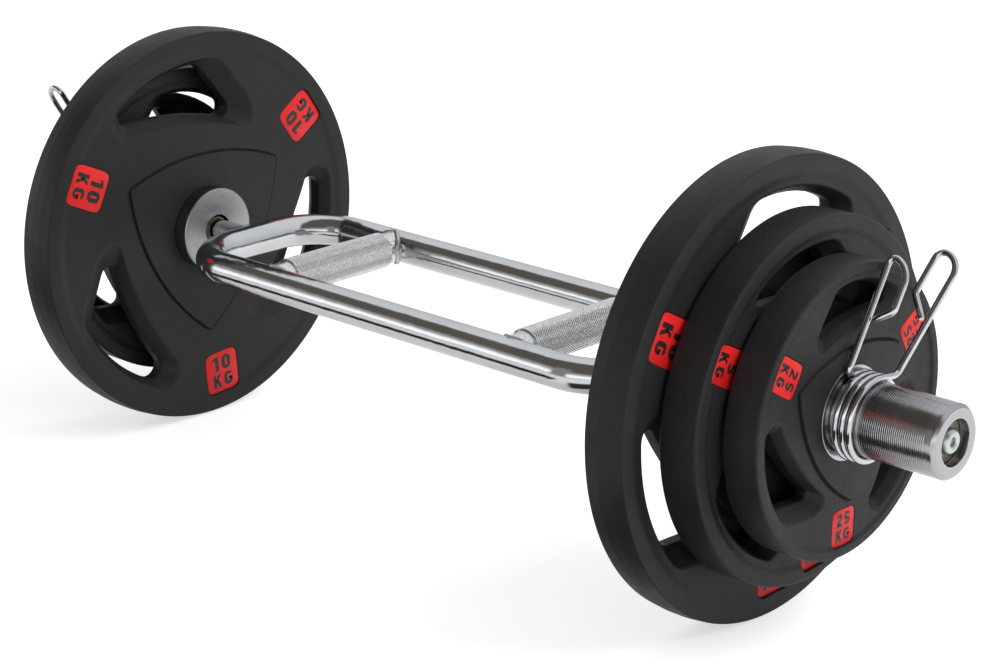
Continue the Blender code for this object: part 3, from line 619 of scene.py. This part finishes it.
# The knurl is a field of small pyramids between two crossing families of grooves
def make_grip(side):
    x = SIDES[side] * GRIP_OFFSET
    count = KNURL_AROUND
    angles = round_angles(count)
    neck = RAIL_INSIDE - GRIP_NECK_LENGTH
    knurl_half = neck - KNURL_STEP
    rows = 2 * int(knurl_half / KNURL_PITCH)

    def ring(y, radius):
        return [(x + radius * cos(a), y, AXIS_HEIGHT + radius * sin(a)) for a in angles]

    verts, faces = [], []
    for i in range(rows + 1):
        y = -knurl_half + 2 * knurl_half * i / rows
        high, low = ring(y, GRIP_RADIUS), ring(y, GRIP_RADIUS - KNURL_DEPTH)
        if i in (0, rows):
            verts += ring(y, GRIP_RADIUS - KNURL_DEPTH * KNURL_END_SHARE)
        else:
            verts += [low[k] if (i + k) % 2 else high[k] for k in range(count)]
    for i in range(rows):
        for k in range(count):
            a, b = i * count + k, i * count + (k + 1) % count
            c, d = b + count, a + count
            faces += [(a, b, c), (a, c, d)] if (i + k) % 2 else [(a, b, d), (b, c, d)]
    for end, row, place in ((-1, 0, "front"), (1, rows, "rear")):
        first = len(verts)
        verts += ring(end * neck, GRIP_NECK_RADIUS + 0.0002)
        verts += ring(end * neck + end * 0.0006, GRIP_NECK_RADIUS)
        for px, _, pz in ring(0, GRIP_NECK_RADIUS):
            meet = RAIL_INSIDE + tube_gap(pz - AXIS_HEIGHT) + GRIP_SUNK
            verts.append((px, end * meet, pz))
        faces += [(row * count + k, row * count + (k + 1) % count, first + (k + 1) % count,
                   first + k) for k in range(count)]
        faces += ring_faces(3, count, offset=first)
        faces.append(tuple(first + 2 * count + k for k in range(count)))
        weld_bead(f"grip_weld_{side}_{place}", GRIP_NECK_RADIUS,
                  lambda out, across, up, end=end:
                  (x + across, end * (RAIL_INSIDE + out), AXIS_HEIGHT + up),
                  "knurled_chrome", GRIP_BEADS[place], 1.3 + x * 20 + end)
    add_piece("grip_" + side, verts, faces, "knurled_chrome", "frame", "knurled_chrome",
              ["handle_" + side], sharp=0)


def make_shaft(side):
    start = FRAME_HALF_LENGTH + 0.006
    end = SHAFT_END_X
    hole = SCREW_SHANK_RADIUS + TOUCH_GAP
    hole_end = end - SCREW_SHANK_LENGTH
    profile = soften([(start, 0, 0), (start, SHAFT_RADIUS, 0), (end, SHAFT_RADIUS, 0.0006),
                      (end, hole, 0), (hole_end, hole, 0), (hole_end, 0, 0)])
    add_side_piece(side, "shaft_bar", lathe(profile, 64), "shaft_steel", "frame", ["shaft"])
    flip = SIDES[side]
    weld_bead("shaft_weld_" + side, SHAFT_RADIUS,
              lambda out, across, up: (flip * (FRAME_HALF_LENGTH + RAIL_RADIUS - out),
                                       flip * across, AXIS_HEIGHT + up),
              "chrome", SHAFT_BEAD, 4 + flip)
    seat = end + TOUCH_GAP
    face = seat + WASHER_THICKNESS
    profile = soften([(seat, hole, 0), (seat, WASHER_RADIUS, 0.0004),
                      (face, WASHER_RADIUS, 0.0006), (face, hole, 0.0003)])
    add_side_piece(side, "end_washer", lathe(profile, 96), "dark_washer", "frame",
                   ["shaft_washer"])
    make_screw(side, face + TOUCH_GAP, hole_end + 2 * TOUCH_GAP)


def make_screw(side, seat, tip):
    top = seat + SCREW_HEAD_HEIGHT
    flat = SCREW_FLAT_SHARE * SCREW_HEAD_RADIUS
    steps = 72
    profile = [(tip, 0), (tip, SCREW_SHANK_RADIUS - 0.0006), (tip + 0.0006, SCREW_SHANK_RADIUS),
               (seat, SCREW_SHANK_RADIUS), (seat, SCREW_HEAD_RADIUS - 0.0002)]
    for i in range(15):
        t = radians(90 * i / 14)
        profile.append((seat + SCREW_HEAD_EDGE + (SCREW_HEAD_HEIGHT - SCREW_HEAD_EDGE) * sin(t),
                        flat + (SCREW_HEAD_RADIUS - flat) * cos(t)))
    verts = [tuple(point) for point in circles(profile, steps)]
    for depth, share in SOCKET_SECTION:
        for a in round_angles(steps):
            sector = (a + pi / 6) % (pi / 3) - pi / 6
            r = SOCKET_WIDTH / 2 / cos(sector) * share
            verts.append((top - depth, r * cos(a), r * sin(a)))
    rows = len(profile) + len(SOCKET_SECTION)
    faces = ring_faces(rows, steps) + [tuple((rows - 1) * steps + k for k in range(steps))]
    add_side_piece(side, "end_screw", (verts, faces), "zinc", "frame", ["shaft_bolt"], sharp=38)


# Sleeve

def make_sleeve(side):
    body = "turning_sleeve_" + side
    seat_x = FLANGE_OUTER_X - FLANGE_SEAT_DEPTH
    start, end, floor = seat_x + TOUCH_GAP, SLEEVE_END_X, SHAFT_END_X
    recess = WASHER_RADIUS + TOUCH_GAP
    radius, bore = SLEEVE_RADIUS, SLEEVE_BORE
    ridges_from, ridges_to = FLANGE_OUTER_X + RIDGES_START, end - PLAIN_END
    outside = [(start, radius)]
    for i in range(int((ridges_to - ridges_from) / RIDGE_PITCH)):
        x = ridges_from + i * RIDGE_PITCH
        outside += [(x + share * RIDGE_PITCH, radius - depth * RIDGE_DEPTH)
                    for share, depth in RIDGE_SECTION]
    rest = soften([(ridges_to, radius, 0), (end - SLEEVE_CHAMFER, radius, 0.0005),
                   (end, radius - SLEEVE_CHAMFER, 0.0006), (end, recess, 0.0006),
                   (floor, recess, 0), (floor, bore, 0.0002), (start, bore, 0.0002)])
    add_side_piece(side, "sleeve_tube", lathe(outside + rest, SLEEVE_AROUND), "sleeve_steel",
                   body, ["sleeve"], sharp=50)
    near, far, seat = FLANGE_INNER_X, FLANGE_OUTER_X, SLEEVE_RADIUS + TOUCH_GAP
    profile = soften([(near, bore, 0.0005), (near, FLANGE_RADIUS - 0.001, 0.0003),
                      (near + 0.001, FLANGE_RADIUS, 0.0003), (far, FLANGE_RADIUS, 0.0008),
                      (far, seat, 0), (seat_x, seat, 0), (seat_x, bore, 0)])
    add_side_piece(side, "flange_ring", lathe(profile, SLEEVE_AROUND), "turned_steel", body,
                   ["flange"])
    for name, x in (("inner", FLANGE_INNER_X + BUSH_RECESS),
                    ("outer", floor - TOUCH_GAP - BUSH_LENGTH)):
        profile = soften([(x, BUSH_BORE, 0.0003), (x, BUSH_LIP_RADIUS, 0.0003),
                          (x + BUSH_TAPER, BUSH_RADIUS, 0.0004),
                          (x + BUSH_LENGTH, BUSH_RADIUS, 0.0004),
                          (x + BUSH_LENGTH, BUSH_BORE, 0.0006)])
        add_side_piece(side, f"bush_{name}_liner", lathe(profile, 72), "bronze", body,
                       ["bush_" + name])


# Plates

def between(start, end, steps):
    return [start.lerp(end, i / steps) for i in range(1, steps)]


def hole_outline(corner_table, outer_radius, hub_bulge, plate):
    scale = plate["radius"] - plate["rim"]
    corners = [Vector(place) * scale for place, _ in corner_table]
    bends = [bend * scale for _, bend in corner_table]
    arcs = [fillet(corners[i - 1], corners[i], corners[(i + 1) % 5], bends[i], 9)
            for i in range(5)]
    rim_radius = outer_radius * scale
    arcs[2] = rim_corner(corners[1], corners[2], rim_radius, bends[2], 9)
    arcs[3] = rim_corner(corners[4], corners[3], rim_radius, bends[3], 9)[::-1]
    rim_edge = arc(Vector((0, 0)), arcs[2][-1], arcs[3][0], 20)[1:-1]
    hub_edge = bow(arcs[0][0], arcs[4][-1], hub_bulge * scale, 20)[::-1]
    outline = (arcs[0] + between(arcs[0][-1], arcs[1][0], 4) + arcs[1]
               + between(arcs[1][-1], arcs[2][0], 8) + arcs[2] + rim_edge + arcs[3]
               + between(arcs[3][-1], arcs[4][0], 4) + arcs[4] + hub_edge)
    return np.array([(p.y, p.x * plate["hand"]) for p in outline])


def outline_normals(points, center):
    ahead = np.roll(points, -1, 0) - np.roll(points, 1, 0)
    normals = np.stack([ahead[:, 1], -ahead[:, 0]], 1)
    normals /= norm(normals, axis=1)[:, None]
    if np.sum(np.sum(normals * (points - center), 1)) < 0:
        normals = -normals
    return normals


# Drops points that lie closer together than the step
def thin(points, step):
    kept = [points[0]]
    for point in points[1:]:
        if norm(point - kept[-1]) >= step:
            kept.append(point)
    if norm(kept[-1] - kept[0]) < step:
        kept.pop()
    return np.array(kept)


def pad_outline(plate):
    lobe = pi / HOLES
    half_chord = plate["pad_corner"] * sin(lobe)
    height = plate["pad_side"] - plate["pad_corner"] * cos(lobe)
    radius = (half_chord ** 2 + height ** 2) / (2 * height)
    reach = asin(half_chord / radius)
    out = plate["pad_side"] - radius
    sides = []
    for hole in range(HOLES):
        facing = 2 * lobe * hole - radians(PAD_TURN) * plate["hand"]
        angles = [facing + reach * (i / 18 - 1) for i in range(37)]
        sides.append([Vector((out * cos(facing) + radius * cos(a),
                              out * sin(facing) + radius * sin(a))) for a in angles])
    points = []
    for i, side in enumerate(sides):
        after = sides[(i + 1) % HOLES]
        points += side[2:-2]
        points += fillet(side[-3], side[-1], after[2], PAD_TIP_BEND, 6)
    return np.array([(p.x, p.y) for p in points])


def label_outline(width, height, grow=0):
    points = []
    for i in range(LABEL_STEPS):
        angle = 2 * pi * (i + 0.5) / LABEL_STEPS
        c, s = cos(angle), sin(angle)
        power = LABEL_SQUARENESS
        size = (abs(c) ** power + abs(s) ** power) ** (-1 / power)
        points.append((size * c * (width / 2 + grow), size * s * (height / 2 + grow)))
    return np.array(points)


def turn_points(points, angle):
    c, s = cos(angle), sin(angle)
    return points @ np.array([[c, s], [-s, c]])


# Distance of points to a closed outline, negative inside it
def outline_distance(points, outline):
    best = np.full(len(points), 1e9)
    inside = np.zeros(len(points), bool)
    for a, b in zip(outline, np.roll(outline, -1, 0)):
        along = b - a
        t = np.clip(((points - a) @ along) / max(along @ along, 1e-18), 0, 1)
        best = np.minimum(best, norm(points - a - t[:, None] * along, axis=1))
        if a[1] != b[1]:
            crosses = (a[1] > points[:, 1]) != (b[1] > points[:, 1])
            edge = a[0] + (points[:, 1] - a[1]) * (b[0] - a[0]) / (b[1] - a[1])
            inside ^= crosses & (points[:, 0] < edge)
    return np.where(inside, -best, best)


# One face of a plate as flat points, triangles and heights above the web
def plate_face(plate, holes):
    radius = plate["radius"]
    lip_start = max(radius - LIP_START_SHARE * plate["rim"],
                    radius - plate["rim"] + MOUTH_BEND + 0.0004)
    lip_top = radius - LIP_TOP_SHARE * plate["rim"]
    outer = radius - EDGE_ROUNDING
    label_at, label_w, label_h = plate["label"]
    lip = [lip_start + (lip_top - lip_start) * i / (LIP_RINGS - 1) for i in range(LIP_RINGS)]
    loops = [circles([(0, r)], count)[:, 1:] for r, count in
             [(outer, PLATE_AROUND), (HUB_RADIUS, HUB_AROUND), (HUB_RADIUS + 0.0022, HUB_AROUND)]
             + [(r, PLATE_AROUND) for r in lip]]
    pad = pad_outline(plate)
    normals = outline_normals(pad, np.zeros(2))
    loops += [thin(pad + normals * distance, 0.0009) for distance, _ in PAD_SECTION]
    seats = []
    for turn in round_angles(HOLES):
        for grow in SEAT_GROWTH:
            outline = label_outline(label_h, label_w, grow)
            outline[:, 0] += label_at
            loops.append(turn_points(outline, turn + pi / HOLES))
        seats.append(loops[-2])
    points, edges = [], []
    for loop in loops + holes:
        first, count = len(points), len(loop)
        points += [Vector(p) for p in loop]
        edges += [(first + i, first + (i + 1) % count) for i in range(count)]
    flat, _, faces, _, _, _ = delaunay_2d_cdt(points, edges, [], 0, 1e-7)
    flat = np.array([(p.x, p.y) for p in flat])
    tris = np.array(list(faces))
    middle = flat[tris].mean(1)
    away = norm(middle, axis=1)
    keep = (away < outer) & (away > HUB_RADIUS)
    for hole in holes:
        keep &= outline_distance(middle, hole) > 0
    rise = np.clip((norm(flat, axis=1) - lip_start) / (lip_top - lip_start), 0, 1)
    height = PAD_HEIGHT * (rise * rise * (3 - 2 * rise))
    to_pad = outline_distance(flat, pad)
    table = np.array(PAD_SECTION)
    on_pad = np.interp(to_pad, table[:, 0], table[:, 1]) * PAD_HEIGHT
    height = np.where(to_pad < table[-1, 0], on_pad, height)
    for seat in seats:
        height = np.where(outline_distance(flat, seat) < 0.0001, -SEAT_DEPTH, height)
    return flat, tris[keep], height


# A cross-section from the web into the grip hole, with both edges rounded off
def hole_section(mouth, throat, drop):
    def at_depth(outline, depth):
        return np.concatenate([outline, np.full((len(outline), 1), depth)], 1)

    edge = mouth + outline_normals(mouth, mouth.mean(0)) * MOUTH_BEND
    ramp = at_depth(throat - mouth, drop)
    length = norm(ramp, axis=1)[:, None]
    corner, bottom = at_depth(mouth, 0), at_depth(throat, drop)
    low = corner + ramp * (MOUTH_BEND * 1.1 / length)
    high = bottom - ramp * (THROAT_BEND / length)
    down = bottom + np.array([0, 0, THROAT_BEND])
    rings = curve(at_depth(edge, 0), corner, low, 6) + [(low + high) / 2]
    return edge, rings + curve(high, bottom, down, 5)


def plate_mesh(plate):
    radius, half = plate["radius"], plate["width"] / 2
    pad_half = half - PAD_BELOW_RING
    web_half = pad_half - PAD_HEIGHT
    drop = web_half * (1 - THROAT_SHARE)
    mouth = hole_outline(MOUTH_CORNERS, MOUTH_OUTER_RADIUS, MOUTH_HUB_BULGE, plate)
    throat = hole_outline(THROAT_CORNERS, THROAT_OUTER_RADIUS, THROAT_HUB_BULGE, plate)
    edge, rings = hole_section(mouth, throat, drop)
    turns = round_angles(HOLES)
    flat, tris, height = plate_face(plate, [turn_points(edge, turn) for turn in turns])
    verts, faces = [], []
    for sign in (1, -1):
        first = len(verts)
        verts += [(sign * (web_half + h), p[0], p[1]) for p, h in zip(flat, height)]
        faces += [tuple(int(first + i) for i in tri) for tri in tris]
        for turn in turns:
            first = len(verts)
            for ring in rings:
                turned = turn_points(ring[:, :2], turn)
                verts += [(sign * (web_half - d), y, z)
                          for (y, z), d in zip(turned, ring[:, 2])]
            faces += ring_faces(len(rings), len(mouth), offset=first)
    for turn in turns:
        first = len(verts)
        turned = turn_points(throat, turn)
        for x in (web_half - drop - THROAT_BEND, -(web_half - drop - THROAT_BEND)):
            verts += [(x, y, z) for y, z in turned]
        faces += ring_faces(2, len(throat), offset=first)
    outer, shoulder = radius - EDGE_ROUNDING, radius - plate["crown"]
    bend = 0.0012 if plate["crown"] else 0
    tread = soften([(pad_half, outer, 0), (pad_half, shoulder, EDGE_ROUNDING),
                    (TREAD_WIDTH / 2, radius, bend), (-TREAD_WIDTH / 2, radius, bend),
                    (-pad_half, shoulder, EDGE_ROUNDING), (-pad_half, outer, 0)], 8)
    bore = [(pad_half, HUB_RADIUS), (-pad_half, HUB_RADIUS)]
    for profile, count in ((tread, PLATE_AROUND), (bore, HUB_AROUND)):
        faces += ring_faces(len(profile), count, offset=len(verts))
        verts += [tuple(point) for point in circles(profile, count)]
    return np.array(verts), faces, web_half


# A flat ribbon along a line of points, with mitred joints
def ribbon(path, width, closed):
    points = [Vector(p) for p in path]
    count = len(points)
    verts = []
    for i, point in enumerate(points):
        before = points[i - 1] if i or closed else None
        after = points[(i + 1) % count] if i + 1 < count or closed else None
        tangents = [(end - start).normalized() for start, end in ((before, point), (point, after))
                    if start is not None and end is not None]
        along = sum(tangents, Vector((0, 0))).normalized()
        normal = Vector((-along.y, along.x))
        half = width / 2 / max(abs(along.dot(tangents[0])), 0.5)
        verts += [point + normal * half, point - normal * half]
    faces = [(2 * i, 2 * i + 1, 2 * ((i + 1) % count) + 1, 2 * ((i + 1) % count))
             for i in range(count if closed else count - 1)]
    return verts, faces


def bend_points(x, y, rx, ry, start, end, steps=14):
    angles = [radians(start + (end - start) * i / steps) for i in range(steps + 1)]
    return [(x + rx * cos(a), y + ry * sin(a)) for a in angles]


# Bold narrow signs one unit tall: each is a width, ribbons that may be closed, and solid shapes
def make_signs():
    w = LETTER_STROKE
    h = w / 2
    zero = (bend_points(0.29, 0.7, 0.29 - h, 0.3 - h, 0, 180)
            + bend_points(0.29, 0.3, 0.29 - h, 0.3 - h, 180, 360))
    two = bend_points(0.28, 0.71, 0.28 - h, 0.29 - h, 175, -32) + [(0.12, 0.2)]
    five = [(0.13, 0.46)] + bend_points(0.275, 0.32, 0.285 - h, 0.32 - h, 118, -160, 20)
    gee = (bend_points(0.3, 0.7, 0.3 - h, 0.3 - h, 18, 180)
           + bend_points(0.3, 0.3, 0.3 - h, 0.3 - h, 180, 345) + [(0.6 - h, 0.54)])
    return {
        "1": (0.42, [], [[(0, 0.7), (0, 0.88), (0.25, 1), (0.42, 1), (0.42, 0),
                          (0.42 - w, 0), (0.42 - w, 0.8)]]),
        "0": (0.58, [(zero, True)], []),
        "2": (0.56, [(two, False)], [[(0, 0), (0.56, 0), (0.56, w * 0.93), (0.22, w * 0.93),
                                      (0.24, 0.27), (0.08, 0.27), (0, 0.13)]]),
        "5": (0.56, [(five, False)], [[(0.06, 1), (0.53, 1), (0.53, 1 - w * 0.93),
                                       (0.22, 1 - w * 0.93), (0.205, 0.57), (0.1, 0.42),
                                       (0.03, 0.46)]]),
        "K": (0.6, [], [[(0, 0), (0, 1), (w, 1), (w, 0)],
                         [(w * 0.9, 0.3), (w * 0.9, 0.57), (0.36, 1), (0.59, 1)],
                         [(0.21, 0.52), (0.37, 0.65), (0.62, 0), (0.39, 0)]]),
        "G": (0.6, [(gee, False)], [[(0.33, 0.4), (0.33, 0.54), (0.6, 0.54), (0.6, 0.4)]]),
    }


def word_mesh(word, height, width):
    signs = make_signs()
    points, faces, x = [], [], 0
    for sign in word:
        advance, lines, shapes = signs[sign]
        for path, closed in lines:
            verts, quads = ribbon(path, LETTER_STROKE, closed)
            faces += [tuple(len(points) + i for i in quad) for quad in quads]
            points += [(v.x + x, v.y) for v in verts]
        for shape in shapes:
            faces.append(tuple(range(len(points), len(points) + len(shape))))
            points += [(px + x, py) for px, py in shape]
        x += advance + LETTER_GAP
    points = np.array(points)
    low, high = points.min(0), points.max(0)
    points -= (low + high) / 2
    points *= np.array([width, height]) / (high - low)
    return points, faces


# Labels lie in shallow seats on both faces, with their words' tops towards the hub
def make_labels(size, side, plate, x_center, web_half):
    label_at, label_w, label_h = plate["label"]
    outline = label_outline(label_w, label_h)
    words = []
    for word, share, tall, wide in zip(plate["words"], WORD_PLACES, WORD_HEIGHTS, WORD_WIDTHS):
        if len(word) == 1:
            wide *= ONE_SIGN_SHARE
        points, faces = word_mesh(word, label_h * tall, label_w * wide)
        words.append((points + [0, share * label_h], faces))
    for face, sign in (("outer", 1), ("inner", -1)):
        for i, turn in enumerate(round_angles(HOLES)):
            angle = radians(plate["turn"][side]) + turn + pi / HOLES
            out = Vector((cos(angle), sin(angle)))
            across = Vector((-out.y, out.x)) * sign

            def put(points, height):
                x = x_center + sign * (web_half - SEAT_DEPTH + height)
                return [(x, *(out * (label_at - p[1]) + across * p[0])) for p in points]

            red = [point for shrink, height in ((1, 0.00002), (1, LABEL_THICKNESS * 0.6),
                                                (0.985, LABEL_THICKNESS))
                   for point in put(outline * shrink, height)]
            red_faces = ring_faces(3, LABEL_STEPS)
            red_faces.append(tuple(range(LABEL_STEPS)))
            red_faces.append(tuple(2 * LABEL_STEPS + k for k in range(LABEL_STEPS)))
            ink, ink_faces = [], []
            for points, word_faces in words:
                for height in (LABEL_THICKNESS, LABEL_THICKNESS + INK_THICKNESS):
                    ink_faces += [tuple(len(ink) + k for k in f) for f in word_faces]
                    ink += put(points, height)
            for name, look, verts, faces in (("label", "label_red", red, red_faces),
                                             ("label_words", "label_black", ink, ink_faces)):
                add_piece(f"{name}_{size}_{side}_{face}_{i + 1}", placed(side, verts),
                          faces, look, f"disc_{size}_{side}", plate["look"], sharp=40)


def make_plates():
    meshes = {size: plate_mesh(plate) for size, plate in PLATES.items()}
    for side in SIDES:
        x = FLANGE_OUTER_X + TOUCH_GAP
        for size, plate in PLATES.items():
            verts, faces, web_half = meshes[size]
            body = f"disc_{size}_{side}"
            half = plate["width"] / 2
            center = x + half
            turned = verts.copy()
            turned[:, 1:] = turn_points(verts[:, 1:], radians(plate["turn"][side]))
            turned[:, 0] += center
            add_side_piece(side, "cover_" + size, (turned, faces), plate["look"], body,
                           ["plate_" + size], sharp=42, weighted=True)
            profile = soften([(center - half, RING_BORE, 0.0012),
                              (center - half, RING_RADIUS, 0.0005),
                              (center + half, RING_RADIUS, 0.0005),
                              (center + half, RING_BORE, 0.0012)])
            add_side_piece(side, "hub_ring_" + size, lathe(profile, HUB_AROUND), "ring_steel",
                           body, ["ring_" + size])
            make_labels(size, side, plate, center, web_half)
            x += plate["width"] + TOUCH_GAP


# Spring clips

def unit(degrees):
    return Vector((cos(radians(degrees)), sin(radians(degrees))))


def arm_path(arm, coil_angle, heading, x_root):
    spacing = arm["spacing"]
    lean = radians(arm["closing_lean"])
    stand = WIRE_RADIUS * (1 + sin(lean)) + 2 * TOUCH_GAP
    closing = (spacing - stand) * tan(lean)
    main, side, ahead = unit(arm["angle"]), unit(arm["angle"] - 90), unit(heading)
    start = unit(coil_angle) * COIL_RADIUS
    root = start + ahead * ((arm["offset"] - start.dot(side)) / ahead.dot(side))

    # Lengths along an arm's line are measured from the foot of the bar's axis on that line
    def at(along, across):
        slant = (along - root.dot(main)) * tan(radians(arm["lean"]))
        flat = main * along + side * arm["offset"]
        return Vector((x_root + slant + arm["loop_x"] * across, *flat))

    coil_end, hook = Vector((x_root, *start)), Vector((x_root, *root))
    top, shoulder = at(arm["top"], 0), at(arm["shoulder"], spacing)
    corner, tip = at(arm["corner"], spacing), at(arm["corner"] - closing, stand)
    stops, points = (coil_end, hook, top, shoulder, corner, tip), []
    for i, (bend, steps) in enumerate(zip(arm["bends"], ARM_BEND_STEPS)):
        points += fillet(*stops[i:i + 3], bend, steps)
    return points + [tip]


# Fills long straight stretches and keeps the wire's points evenly spaced
def even(points, step):
    out = [points[0]]
    for a, b in zip(points, points[1:]):
        count = max(1, int((b - a).length / step))
        out += [a.lerp(b, i / count) for i in range(1, count + 1)]
    return out


def make_clips():
    turned = 360 * CLIP_TURNS + CLIP_START - CLIP_END
    for side in SIDES:
        clip = "clip_" + side
        start_x = PLATES_END_X + CLIP_STANDOFF[side] + WIRE_RADIUS
        end_x = start_x + CLIP_PITCH * turned / 360
        coil = []
        for i in range(COIL_STEPS + 1):
            share = i / COIL_STEPS
            place = unit(CLIP_START - share * turned) * COIL_RADIUS
            coil.append(Vector((start_x + share * (end_x - start_x), *place)))
        inner = arm_path(INNER_ARM, CLIP_START, CLIP_START + 90, start_x)
        outer = arm_path(OUTER_ARM, CLIP_END, CLIP_END - 90, end_x)
        middle = COIL_STEPS // 2
        halves = (
            ("inner", INNER_ARM, inner[::-1] + coil[:middle + 1], ["clip_coil", "clip_arm_inner"]),
            ("outer", OUTER_ARM, coil[middle:] + outer, ["clip_arm_outer"]),
        )
        turn = Matrix.Rotation(radians(CLIP_TURN[side]), 3, "X")
        for half, arm, points, nodes in halves:
            path = even([turn @ point for point in points], WIRE_STEP)
            radii = [WIRE_RADIUS] * len(path)
            for k, share in enumerate(WIRE_TIP_SHARES):
                radii[k if half == "inner" else -1 - k] = WIRE_RADIUS * share
            item = add_side_piece(side, "wire_" + half, sweep(path, radii, 18), "spring_chrome",
                                  clip, nodes, sharp=50, rides=False)
            # Points on the arm's own line beyond the coil, at the lengths of ARM_FLEX; nothing
            # uses them further
            ends = []
            for along in ARM_FLEX[half]:
                flat = unit(arm["angle"] + CLIP_TURN[side]) * along
                ends.append(tuple(placed(side, [(start_x, *flat)])[0]))
            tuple(ends[0])
            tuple(ends[1])
            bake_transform(item)


# Floor, light and camera

def add_sheet(name, paint, color, ends, near, far):
    mesh = bpy.data.meshes.new(name)
    mesh.from_pydata([(ends[0], *near), (ends[1], *near), (ends[1], *far), (ends[0], *far)], [],
                     [(0, 1, 2, 3)])
    sheet = add_object(name, mesh)
    nodes = start_material(paint, color, 0.9, 0, 0)
    mesh.materials.append(nodes.owner)
    return sheet, nodes


def make_stage():
    half = FLOOR_HALF
    _, nodes = add_sheet("floor", "floor_white", (0.66, 0.66, 0.66), (-half, half), (-half, 0),
                         (half, 0))
    path = nodes.add("LightPath")
    direct = nodes.sum(path.outputs["Is Camera Ray"], 0.6, "MULTIPLY")
    mirrored = nodes.sum(path.outputs["Is Glossy Ray"], 0.3, "MULTIPLY")
    nodes.feed(nodes.shader.inputs["Emission Color"], (1, 1, 1))
    nodes.feed(nodes.shader.inputs["Emission Strength"], nodes.sum(direct, mirrored))
    for name, (shade, ends, near, far) in CARDS.items():
        card, _ = add_sheet(name, name, shade, ends, near, far)
        card.visible_camera = False
        card.visible_diffuse = False
        card.visible_shadow = False


def make_world():
    world = bpy.data.worlds.new("studio")
    bpy.context.scene.world = world
    nodes = Nodes(world)
    nodes.tree.nodes.clear()

    def step(value, low, high):
        return nodes.spread(value, low, high, interpolation_type="SMOOTHSTEP")

    _, back, up = nodes.axes("Generated")
    # Front: a bright wall low down, and a dark ceiling above it
    front = nodes.blend(step(up, 0.13, 0.36), (1.55, 1.55, 1.58), (0.42, 0.41, 0.4))
    front = nodes.blend(step(up, 0.4, 0.5), front, (0.125, 0.11, 0.098))
    # Back: a light wall that brightens upwards
    rear = nodes.blend(step(up, 0, 0.9), (0.62, 0.64, 0.66), (0.86, 0.87, 0.9))
    glossy = nodes.blend(step(back, -0.05, 0.06), front, rear)
    soft = nodes.blend(step(back, -0.8, 0.5), (0.42, 0.42, 0.42), (0.9, 0.9, 0.9))
    path = nodes.add("LightPath")
    seen = nodes.blend(path.outputs["Is Glossy Ray"], soft, glossy)
    seen = nodes.blend(path.outputs["Is Camera Ray"], seen, (1, 1, 1))
    background = nodes.add("Background", {"Color": seen})
    nodes.add("OutputWorld", {"Surface": background.outputs["Background"]})


def make_lights():
    for name, (place, size, power) in LAMPS.items():
        lamp = bpy.data.lights.new(name, "AREA")
        lamp.shape = "DISK"
        lamp.size = size
        lamp.energy = power
        item = add_object(name, lamp)
        item.location = place
        aim = LAMP_AIM - item.location
        item.rotation_euler = aim.to_track_quat("-Z", "Y").to_euler()
        item.visible_camera = False
        item.visible_glossy = False


def make_camera():
    lens = bpy.data.cameras.new("camera")
    lens.lens = CAMERA_LENS
    lens.sensor_width = 36
    lens.clip_end = 50
    camera = add_object("camera", lens)
    turn = Matrix(CAMERA_AXES).transposed().to_4x4()
    camera.matrix_world = Matrix.Translation(CAMERA_PLACE) @ turn
    bpy.context.scene.camera = camera


def dress_hidden_nodes():
    for side in SIDES:
        for size in PLATES:
            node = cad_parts[f"core_{size}_{side}"]
            node.data.materials.clear()
            node.data.materials.append(looks["cast_iron"])


looks = make_looks()
make_camera()
make_frame()
for side in SIDES:
    make_sleeve(side)
make_plates()
make_clips()
dress_hidden_nodes()
make_stage()
make_world()
make_lights()
bpy.context.scene.view_settings.view_transform = "Standard"
